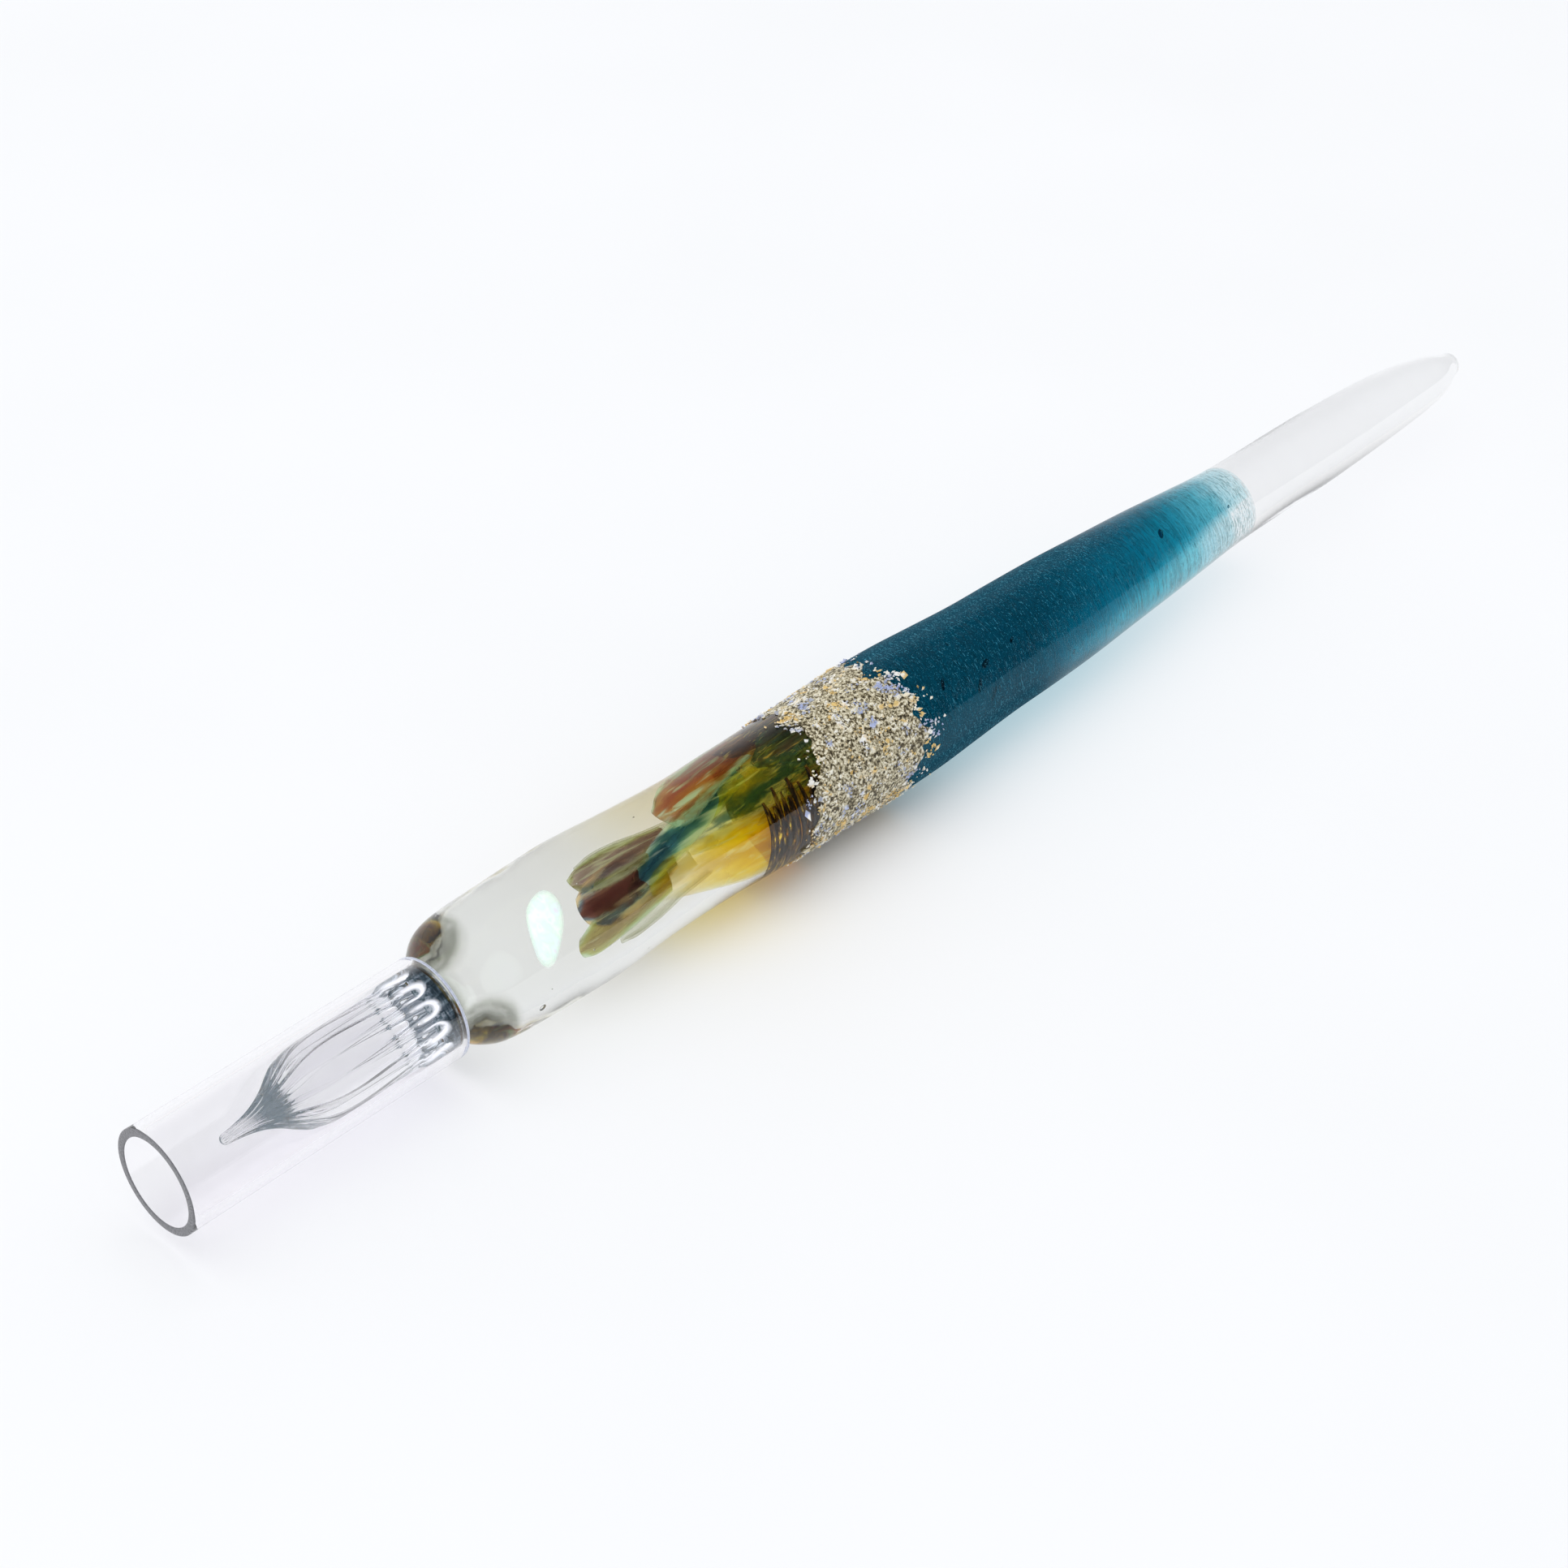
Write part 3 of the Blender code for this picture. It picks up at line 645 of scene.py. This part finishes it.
def nib_radius(stations, angles):
    """Twelve rounded ribs with grooves that end in round scoops, drawn out to a round tip with a twist."""
    s = stations - NIB_TIP
    radius = smooth_curve([(a * MM, r * MM) for a, r in NIB_PROFILE], s)
    rise = smooth_curve(SEAT_CURVE, (stations - SEAT_RISE) / (1.6 * MM))
    seat = radius + (SEAT_RADIUS - RIB_RADIUS) * np.clip(rise, 0, 1)
    radius = np.where(stations > SEAT_RISE, seat, radius)
    close = np.clip((SEAT_END - stations) / (0.5 * MM), 0, 1)
    radius = radius - (SEAT_RADIUS - NECK_RADIUS) * (1 - np.sqrt(1 - (1 - close) ** 2))
    tip = np.clip(s / TIP_ROUND, 0, 1)
    radius = radius * np.sqrt(1 - (1 - tip) ** 2)
    twist = 0.55 * np.clip(1 - s / (8 * MM), 0, 1) ** 2
    offset = ((angles - twist) / (TURN / RIB_COUNT) + 0.5) % 1.0 - 0.5
    past = np.clip((stations - GROOVE_END) / (1.3 * MM), 0, None)
    inside = 1 - (offset / 0.43) ** 2 - past**2
    return radius - smooth_curve(GROOVE_DEPTHS, s / MM) * radius * np.sqrt(np.clip(inside, 0, 1))


def painted_root_light_and_shade(points):
    """Painted shade on the nib's skin behind the grooves, and painted highlights where their scooped ends
    catch light.
    """
    points = np.asarray(points)
    station = (points[:, 0] - FRONT) / MM
    across = points[:, 1] * TO_VIEWER.y + (points[:, 2] - AXIS_HEIGHT) * TO_VIEWER.z
    down = points[:, 1] * BELOW.y + (points[:, 2] - AXIS_HEIGHT) * BELOW.z
    offset = (np.arctan2(down, across) / (TURN / RIB_COUNT) + 0.5) % 1.0 - 0.5
    inside = 1 - (offset / 0.40) ** 2 - np.clip((station - GROOVE_END / MM) / 1.3, 0, None) ** 2
    ridge = 1 - np.clip(inside * 2.5, 0, 1)
    behind = np.clip((station - 22.0) / 5.0, 0, 1) ** 1.9
    lip = np.clip(1.35 - np.abs(inside - 0.38) / 0.30, 0, 1) * np.clip((station - 23.6) / 1.4, 0, 1) ** 1.5
    return {"dark": ridge * behind, "loop_highlight": 0.95 * lip}


def make_nib():
    """The fluted nib and its seat, closed at the tip."""
    rise = NIB_TIP + TIP_ROUND * (1 - np.cos(np.linspace(0.12, math.pi / 2, 8)))
    flare = np.linspace(NIB_TIP + 0.5 * MM, FLARE_END, 46)
    ribs = np.linspace(FLARE_END + 0.3 * MM, SEAT_START - 1.4 * MM, 20)
    root = np.linspace(SEAT_START - 1.3 * MM, SEAT_END - 0.55 * MM, 48)
    seat = SEAT_END - 0.5 * MM * (1 - np.sin(np.linspace(0, math.pi / 2, 7)))
    columns = RIB_COUNT * RIB_COLUMNS
    skin = lathe(np.concatenate([rise, flare, ribs, root, seat]), nib_radius, columns)
    points, faces, _ = add_pole(*skin, range(columns), NIB_TIP)
    shading = painted_root_light_and_shade(points)
    new_piece("nib_glass", points, faces, nib_material(), replaces=("nib", "nib_seat"), values=shading)


def painted_backdrop_material():
    """Painted shade and light seen down the nib, at its fused seam: cloudy blue-grey with dark and pale
    streaks.
    """
    p = Paint("nib_painted_backdrop")
    cloud = p.noise(p.place(), 0.9, 3.0, 0.6, 0.8)
    # painted reflection: blue-grey shade with dark and pale streaks, where the real joint is clear glass
    shade = p.seen_ramp(cloud, [(0.36, (84, 106, 112)), (0.50, (146, 166, 174)), (0.62, (238, 244, 250))])
    return p.finish(veil(p, shade, 0.8))


def make_painted_backdrop():
    """A thin lens across the neck, behind the nib, that carries the painted shade and light."""
    columns, rows = 72, 15
    middle, half, wide = SEAT_END - 0.35 * MM, 0.12 * MM, 3.4 * MM

    def radius_of(stations, _):
        return wide * np.sqrt(np.clip(1 - ((stations - middle) / half) ** 2, 0, 1))

    skin = lathe(middle + half * np.sin(np.linspace(-1.45, 1.45, rows)), radius_of, columns)
    skin = add_pole(*skin, range(columns), middle - half)
    points, faces, _ = add_pole(*skin, range((rows - 1) * columns, rows * columns), middle + half)
    new_piece("nib_painted_backdrop", points, faces, painted_backdrop_material())


def shoulder_painted_shade(values):
    """How much painted shade the barrel's skin carries: a patch above and below on the shoulder, and
    faintly the neck.
    """
    along, around = np.ravel(values["along"]), np.ravel(values["around"])
    painted_shade = np.zeros(len(along))
    patches = [(29.3, -1.12, 3.4, 0.80, 1.0), (29.9, 1.0, 3.2, 0.74, 1.0), (28.4, 0.2, 1.0, 3.5, 0.3)]
    for station, angle, long, wide, strength in patches:
        turn = (around - angle + math.pi) % TURN - math.pi
        distance = np.hypot((along - station) / long, turn / wide)
        painted_shade = np.maximum(painted_shade, strength * np.clip(1 - distance, 0, 1))
    return painted_shade


def make_barrel():
    """The barrel's clear skin, from the neck to under the frit, with its stray bubbles."""
    shoulder = np.linspace(SEAT_END, 33.0 * MM, 34)
    rest = np.linspace(33.4 * MM, (BAND_START + BAND_END) / 2, 90)
    places = [
        (35.1, 5.4, 1.03, 0.34, 0.26, 0.3), (43.1, 4.6, -0.45, 0.12, 0.08, 0.0),
        (41.3, 4.9, 0.62, 0.10, 0.08, 0.2), (52.0, 5.2, -0.9, 0.10, 0.07, 0.0),
        (36.6, 4.4, 0.9, 0.07, 0.06, 0.0), (47.5, 5.0, 1.3, 0.09, 0.06, 0.4),
    ]
    skin = lathe(np.concatenate([shoulder, rest]), body_radius)
    points, faces, values = bubbles(*skin, places)
    warm = np.clip(1.25 - np.abs(values["along"] - 60.5) / 9.0, 0, 1)
    # the shoulder's painted shade, and where light passing to the floor turns amber
    values = {"painted_shade": shoulder_painted_shade(values), "warm": warm}
    replaced = ("neck_collar", "front_casing", "core_rod")
    new_piece("barrel_glass", points, faces, barrel_material(), replaces=replaced, values=values)


def make_teal():
    """The blue-green skin, from under the frit to the tail; its colour reaches less far back low down."""
    places = [
        (90.5, 5.7, 0.35, 0.75, 0.22, 0.9), (92.0, 5.6, 0.62, 0.80, 0.20, 0.8),
        (86.4, 5.9, 0.02, 0.60, 0.20, 1.0), (92.3, 5.5, 0.10, 0.62, 0.28, 0.4),
        (96.6, 5.4, 0.0, 0.40, 0.18, 0.6), (120.9, 4.4, -0.20, 0.52, 0.30, 0.9),
        (131.4, 3.7, 0.1, 0.20, 0.12, 0.7), (104.0, 5.2, 0.85, 0.3, 0.1, 0.8),
        (90.0, 5.8, -0.5, 0.24, 0.08, 1.2),
    ]
    skin = lathe(np.linspace((BAND_START + BAND_END) / 2, TEAL_END, 120), body_radius)
    points, faces, values = bubbles(*skin, places)
    along, around = values["along"], values["around"]
    lower = np.clip((np.sin(around) - 0.1) / 0.6, 0, 1) * np.clip(np.cos(around) + 0.45, 0, 1)
    values["reach"] = along + 23.0 * lower * np.clip((along - 90) / 14, 0, 1)
    new_piece(
        "teal_glass_section", points, faces, teal_material(), replaces=("teal_section",),
        values=values,
    )


def make_tail():
    """The clear tail, drawn out to a blunt end."""
    nose = LENGTH - (LENGTH - 172.0 * MM) * (1 - np.sin(np.linspace(0, math.pi / 2 - 0.06, 18)))
    skin = lathe(np.concatenate([np.linspace(TEAL_END, 171.6 * MM, 80), nose]), body_radius)
    ring = range(len(skin[0]) - AROUND, len(skin[0]))
    points, faces, _ = add_pole(*skin, ring, LENGTH)
    glass = clear_glass("tail_clear_glass", (1.0, 1.0, 1.0), (0.988, 0.988, 0.99), 0.004, 0.85)
    new_piece("tail_glass", points, faces, glass, replaces=("clear_tail",))


# ---- the flower inside


def make_sheet(name, material, replaced, rows, seed):
    """A petal or veil.  Each row is (station, radius, angle in degrees, half width) along it."""
    steps, columns = 34, 15
    cup, ripple, thickness = 0.35, 0.12, 0.10 * MM
    rows = np.array(rows, float)
    t = np.linspace(0, 1, steps)
    knots = np.linspace(0, 1, len(rows))
    s, r, a, w = (smooth_curve(list(zip(knots, rows[:, i])), t) for i in range(4))
    a = np.radians(a)
    across = np.linspace(-1, 1, columns)
    points = []
    for i in range(steps):
        wave = ripple * np.sin(5.0 * t[i] + 2.3 * across * 1.5 + seed) * across**2
        radius = r[i] - cup * w[i] * across**2 + wave * w[i]
        side = across * w[i]
        shift = 0.25 * w[i] * np.sin(3 * t[i] * math.pi + seed) * (1 - abs(across))
        front = 0.9 * w[i] * (1 - np.sqrt(np.clip(1 - across**2, 0, 1))) * (1 - t[i]) ** 3
        stations = (s[i] + front + 0.2 * shift) * MM
        points.append(pen_points(stations, np.hypot(radius, side) * MM, a[i] + np.arctan2(side, radius)))
    points = np.array(points).reshape(-1, 3)
    faces = []
    for i in range(steps - 1):
        for k in range(columns - 1):
            j = i * columns + k
            faces.append((j, j + 1, j + columns + 1, j + columns))
    values = {"across": np.tile(across, steps), "along": np.repeat(t, columns)}
    piece = new_piece(name, points, faces, material, replaces=(replaced,), values=values)
    body = piece.modifiers.new("Thickness", "SOLIDIFY")
    body.thickness = thickness
    body.offset = 0.0


def make_opal():
    """A flat flake of opal with a soft rim, across the pen."""
    columns, rows = 40, 8
    angles = np.arange(columns) * TURN / columns
    outline = 1 + 0.06 * np.cos(2 * angles + 0.7) + 0.035 * np.cos(3 * angles + 0.4)
    outline = outline + 0.02 * np.cos(5 * angles)
    wide, long, thick = 2.12 * MM, 1.78 * MM, 0.42 * MM
    up, across = np.array(TO_VIEWER), np.array(BELOW)
    centre = pen_points(39.5 * MM, 0.45 * MM, -math.pi / 2) + 0.9 * MM * up
    points, rims = [], []
    for i in range(rows):
        t = math.pi * (i + 1) / (rows + 1)
        flat = math.sin(t) ** 0.45
        rims += [flat] * columns
        for angle, size in zip(angles, outline * flat):
            down = wide * size * math.sin(angle)
            ahead = long * size * math.cos(angle) * (1 - 0.16 * math.sin(angle)) - 0.6 * down
            lift = thick * math.cos(t) * (1 + 0.15 * math.sin(3 * angle))
            points.append(centre + np.array([ahead, 0, 0]) + down * across + lift * up)
    points += [centre + thick * up, centre - thick * up]
    faces = faced(points, ball_faces(rows, columns), centre)
    new_piece(
        "opal_flake", points, faces, opal_material(), replaces=("opal_chip",),
        values={"rim": rims + [0.0, 0.0]},
    )


# Each petal's veil, slot, angle in degrees, and its tip's station, distance from the axis and half width
PETALS = [
    ("mauve", "olive_glass", -48, 43.4, 2.3, 1.5),
    ("plum", "plum_glass", 1, 42.4, 2.2, 1.8),
    ("olive", "olive_glass", 51, 41.0, 2.3, 1.4),
    ("pale", "blue_glass", 118, 46.0, 2.3, 1.1),
    ("pale", "plum_glass", 178, 45.4, 2.3, 1.1),
    ("pale", "olive_glass", 238, 45.8, 2.3, 1.1),
]
# Each larger sheet's veil, slot, CAD node and seed, and its rows of station, radius, angle and half width
SHEETS = [
    ("orange", "amber_glass", "orange_veil", 0.4,
     [(54.4, 3.0, -58, 1.5), (57.0, 3.6, -64, 2.2), (61.5, 4.1, -70, 2.3), (66.5, 4.6, -72, 2.1)]),
    ("green", "green_glass", "green_gather", 2.0,
     [(54.5, 1.9, -10, 0.9), (58.5, 2.9, -4, 1.6), (62.5, 3.9, -6, 2.2), (69.5, 4.8, -12, 2.6)]),
    ("yellow", "yellow_glass", "yellow_gather", 3.1,
     [(49.0, 1.9, 34, 1.0), (55.5, 2.8, 40, 1.9), (61.5, 3.9, 48, 2.7), (68.5, 4.9, 56, 3.0)]),
    ("blue", "blue_glass", "blue_gather", 4.4,
     [(47.5, 1.9, 16, 0.5), (52.0, 2.2, -12, 1.0), (57.5, 3.0, -30, 1.1), (63.5, 4.0, -38, 0.7)]),
    ("brown", "plum_glass", "plum_gather", 5.2,
     [(59.0, 3.2, -104, 1.1), (62.5, 4.0, -84, 1.7), (66.0, 4.7, -60, 2.2), (71.5, 5.2, -50, 2.4)]),
]


def make_flower():
    """Six petals round the axis, and the larger sheets of colour behind them."""
    veils = {name: veil_material(name) for name in VEILS}
    for number, (name, slot, angle, tip, out, wide) in enumerate(PETALS, 1):
        rows = [
            (tip, out + 0.10, angle, 0.62 * wide), (tip + 1.6, out + 0.15, angle, 0.90 * wide),
            (tip + 4.2, out, angle, wide), (tip + 7.2, out - 0.25, angle - 4, 0.85 * wide),
            (tip + 11.0, out - 0.45, angle - 10, 0.55 * wide),
        ]
        make_sheet(f"flower_petal_{number}", veils[name], f"petal_{number}", rows, 1.7 * number)
    for name, slot, replaced, seed, rows in SHEETS:
        make_sheet(f"{name}_sheet", veils[name], replaced, rows, seed)


def make_calyx():
    """The gathered colour that widens to the barrel's skin under the frit."""
    start, end = 61.5, 74.0
    profile = [(start, 0.5), (63.0, 2.2), (65.0, 3.9), (67.5, 4.9), (70.0, 5.3), (end, 5.45)]

    def radius_of(stations, angles):
        s = stations / MM
        lobes = 0.10 * np.cos(5 * angles + 0.25 * s) + 0.05 * np.cos(9 * angles - 0.4 * s)
        return smooth_curve(profile, s) * (1 + lobes * np.clip((end - s) / 14.0, 0, 1)) * MM

    points, faces, values = lathe(np.linspace(start, end, 48) * MM, radius_of, 96)
    values["around"] = np.arctan2(np.sin(values["around"]), np.cos(values["around"]))
    new_piece("gathered_colours", points, faces, calyx_material(), values=values)


def make_threads():
    """Dark threads wound round the gathered colour just ahead of the frit."""
    turns, steps, sides = 10, 72, 6
    start, pitch = 62.8, 0.72
    points, faces = [], []
    for turn in range(turns):
        first = len(points)
        arc0 = math.radians(4 + 9 * math.sin(2.1 * turn))
        arc1 = math.radians(98 + 8 * math.cos(1.3 * turn))
        for i in range(steps):
            share = i / (steps - 1)
            angle = arc0 + (arc1 - arc0) * share
            station = start + pitch * turn + 0.18 * math.sin(5 * share + turn) - 0.5 * share
            radius = smooth_curve([(60.0, 5.20), (72.0, 5.62)], station)
            radius = radius + 0.05 * math.sin(9 * share + 2 * turn)
            taper = math.sin(math.pi * min(max(share, 0.03), 0.97)) ** 0.4
            thick = (0.29 + 0.08 * math.sin(4 * share + 1.7 * turn)) * taper
            for k in range(sides):
                a = TURN * k / sides
                ahead, up = 1.5 * thick * math.cos(a), thick * math.sin(a)
                points.append(pen_points((station + ahead) * MM, (radius + up) * MM, angle))
        faces += [tuple(first + v for v in f) for f in wrapped_faces(steps, sides)]
        end = first + (steps - 1) * sides
        faces += [tuple(range(first + sides - 1, first - 1, -1)), tuple(range(end, end + sides))]
    new_piece(
        "thread_windings", points, faces, thread_material(),
        replaces=("thread_wrap_1", "thread_wrap_2", "thread_wrap_3"),
    )


# ---- the frit band


def band_edges(angles):
    """The wandering front and rear edges of the frit round the pen, in mm."""
    angles = np.asarray(angles)
    front = 68.9 - 1.9 * np.cos(angles - 1.2) + 0.7 * np.cos(2 * angles + 0.5)
    front = front + 0.35 * np.cos(5 * angles + 1.0)
    rear = 81.6 + 1.2 * np.cos(angles + 0.3) + 0.7 * np.cos(3 * angles - 0.8)
    rear = rear + 0.4 * np.cos(7 * angles + 2.0)
    return front + 0.2 * np.cos(11 * angles), rear + 0.2 * np.cos(13 * angles)


def rough(point, size):
    """Smooth noise at a point, with lumps of a size in mm."""
    return noise.noise(Vector(point) / (size * MM))


def make_frit_bed():
    """The melted bed of the band: a closed skin with ragged edges and a lumpy surface."""
    columns, rows = 300, 90
    depth = 0.25 * MM
    angles = np.arange(columns) * TURN / columns
    front, rear = band_edges(angles)
    front = front + 0.9 + 0.4 * np.cos(17 * angles) * np.cos(6 * angles + 1.0)
    rear = rear - 1.1 + 0.5 * np.cos(19 * angles + 0.6) * np.cos(5 * angles)
    top, low = [], []
    for i in range(rows):
        share = i / (rows - 1)
        s = front + (rear - front) * share
        base = body_radius(s * MM, angles)
        lumps = [0.5 * rough(q, 0.9) + 0.35 * rough(q, 0.35) for q in pen_points(s * MM, base, angles)]
        lift = 0.10 * min(1.0, 8 * share, 8 * (1 - share)) + 0.02
        height = 0.13 * min(1.0, 6 * share + 0.2, 6 * (1 - share) + 0.2)
        top.append(pen_points(s * MM, base + (lift + height * np.array(lumps)) * MM, angles))
        if i in (0, rows - 1):
            low.append(pen_points(s * MM, base - depth, angles))
    points = np.array(top + low[::-1]).reshape(-1, 3)
    quads = wrapped_faces(rows, columns)
    faces = outward(points, quads)
    turned = faces[0] != quads[0]
    rings = [range(i * columns, (i + 1) * columns) for i in (rows - 1, rows, rows + 1, 0)]
    for one, two in zip(rings, rings[1:]):
        for k in range(columns):
            n = (k + 1) % columns
            quad = (one[k], one[n], two[n], two[k])
            faces.append(quad[::-1] if turned else quad)
    new_piece("frit_bed", points, faces, frit_ground_material(), replaces=("frit_band",))


def make_frit_grains():
    """Thousands of crushed grains stuck all over the band, thinning out past its edges."""
    rng = np.random.default_rng(7)
    tries = 9500
    corners = np.array([(1, 0, 0), (-1, 0, 0), (0, 1, 0), (0, -1, 0), (0, 0, 1), (0, 0, -1)], float)
    sides = [(0, 2, 4), (2, 1, 4), (1, 3, 4), (3, 0, 4), (2, 0, 5), (1, 2, 5), (3, 1, 5), (0, 3, 5)]
    points, faces, tones = [], [], []
    for _ in range(tries):
        angle = rng.uniform(0, TURN)
        front, rear = band_edges(angle)
        spill = rng.exponential(0.35)
        pick = rng.uniform()
        if pick < 0.06:
            station = front - spill
        elif pick < 0.14:
            station = rear + spill
        else:
            station = rng.uniform(front, rear)
        size = rng.uniform(0.06, 0.18) * (2.1 if rng.uniform() < 0.07 else 1.0)
        keep = rng.uniform()
        shape = corners * rng.uniform(0.6, 1.35, (6, 1))
        shape = shape * [size * rng.uniform(0.8, 1.7), size, size * rng.uniform(0.45, 0.8)]
        turn = rng.uniform(0, TURN)
        tilt = rng.normal(0, 0.5)
        cos, sin = math.cos(turn), math.sin(turn)
        flat = np.array([[cos, sin, 0], [-sin, cos, 0], [0, 0, 1]])
        cos, sin = math.cos(tilt), math.sin(tilt)
        lean = np.array([[1, 0, 0], [0, cos, sin], [0, -sin, cos]])
        shape = shape @ flat @ lean
        radius = float(body_radius(station * MM, angle)) / MM + 0.10
        spot = pen_points(station * MM, radius * MM, angle)
        clump = rough(spot, 1.3) + 0.6 * rough(spot, 0.45)
        inside = min(1.0, max(0.25, 0.35 + min(station - front, rear - station) / 1.6))
        if keep > (0.55 + 3.0 * clump) * inside:
            continue
        first = len(points)
        ahead, across, up = shape.T
        points.extend(pen_points((station + ahead) * MM, (radius + up) * MM, angle + across / radius))
        faces += [tuple(first + v for v in side) for side in sides]
        tones += [min(1.0, max(0.0, 0.7 * rng.uniform() + 0.15 + 0.9 * clump))] * len(corners)
    points = np.array(points)
    faces = faced(points, faces, points[: len(corners)].mean(0))
    values = {"tone": tones}
    piece = new_piece("frit_grains", points, faces, frit_grain_material(), values=values)
    piece.data.shade_flat()


# ---- studio


LOOK_STATION = 69.75 * MM
CAMERA_DISTANCE = 0.270
TO_CAMERA = Vector((-0.574, -0.549, 0.607))
LENS = 68.94
DARK_SIDE = Vector((0.15, -0.69, 0.70)).normalized()


def make_floor():
    """A plain sheet of pale paper."""
    half = 1.6
    mesh = bpy.data.meshes.new("floor")
    corners = [(-half, -half, 0), (half, -half, 0), (half, half, 0), (-half, half, 0)]
    mesh.from_pydata(corners, [], [(0, 1, 2, 3)])
    floor = bpy.data.objects.new("floor", mesh)
    bpy.context.scene.collection.objects.link(floor)
    p = Paint("floor_paper")
    tone = p.noise(p.place(), 0.02, 2.0)
    shade = p.ramp(tone, [(0.3, (0.855, 0.862, 0.875)), (0.7, (0.87, 0.876, 0.89))])
    mesh.materials.append(p.finish_solid({"Base Color": shade, "Roughness": 0.9}))


def make_key_light():
    """One broad lamp overhead, which the glass doesn't mirror or show."""
    lamp = bpy.data.lights.new("key_light", "AREA")
    lamp.shape = "SQUARE"
    lamp.size = 3.6
    lamp.energy = 53.0
    lamp.color = (1.0, 0.995, 0.985)
    light = bpy.data.objects.new("key_light", lamp)
    bpy.context.scene.collection.objects.link(light)
    away = Vector((-0.22, 0.12, 0.97)).normalized()
    light.location = Vector((FRONT + LOOK_STATION, 0.0, 0.0)) + away * 3.0
    light.rotation_euler = away.to_track_quat("Z", "Y").to_euler()
    light.visible_glossy = False
    light.visible_transmission = False


def make_world():
    """A bright tent whose opening, behind the viewer, shows dark in the glass but hardly dims the scene."""
    p = Paint("studio", world=True)
    direction = p.node("TexCoord").outputs["Generated"]
    toward = p.node("VectorMath", {0: direction, 1: DARK_SIDE}, operation="DOT_PRODUCT").outputs["Value"]
    opening = p.spread(toward, -0.45, 0.35, curve="SMOOTHSTEP")
    tent = p.ramp(opening, [(0.0, (0.95, 0.955, 0.97)), (1.0, (0.02, 0.02, 0.022))])

    def background(tint):
        return p.node("Background", {"Color": tint, "Strength": 1.0}).outputs[0]

    path = p.node("LightPath").outputs
    scattered = p.math("MINIMUM", path["Diffuse Depth"], 1.0)
    lit = p.mix(scattered, background(tent), background((0.74, 0.75, 0.765, 1.0)))
    seen = p.mix(path["Is Camera Ray"], lit, background((0.93, 0.94, 0.955, 1.0)))
    bpy.context.scene.world = p.finish(seen)


def make_camera():
    """The photograph's view: along the pen from in front and above."""
    target = Vector((FRONT + LOOK_STATION, 0.0, AXIS_HEIGHT))
    data = bpy.data.cameras.new("camera")
    data.lens, data.sensor_width = LENS, 36.0
    data.clip_start, data.clip_end = 0.005, 20.0
    camera = bpy.data.objects.new("camera", data)
    away = TO_CAMERA.normalized()
    camera.location = target + away * CAMERA_DISTANCE
    camera.rotation_euler = away.to_track_quat("Z", "Y").to_euler()
    bpy.context.scene.collection.objects.link(camera)
    bpy.context.scene.camera = camera


make_guard_tube()
make_nib()
make_painted_backdrop()
make_barrel()
make_teal()
make_tail()
make_opal()
make_flower()
make_calyx()
make_threads()
make_frit_bed()
make_frit_grains()
make_floor()
make_world()
make_camera()
make_key_light()

scene = bpy.context.scene
scene.view_settings.view_transform = "Standard"
scene.cycles.max_bounces = 24
scene.cycles.transmission_bounces = 24
scene.cycles.glossy_bounces = 12
scene.cycles.transparent_max_bounces = 32
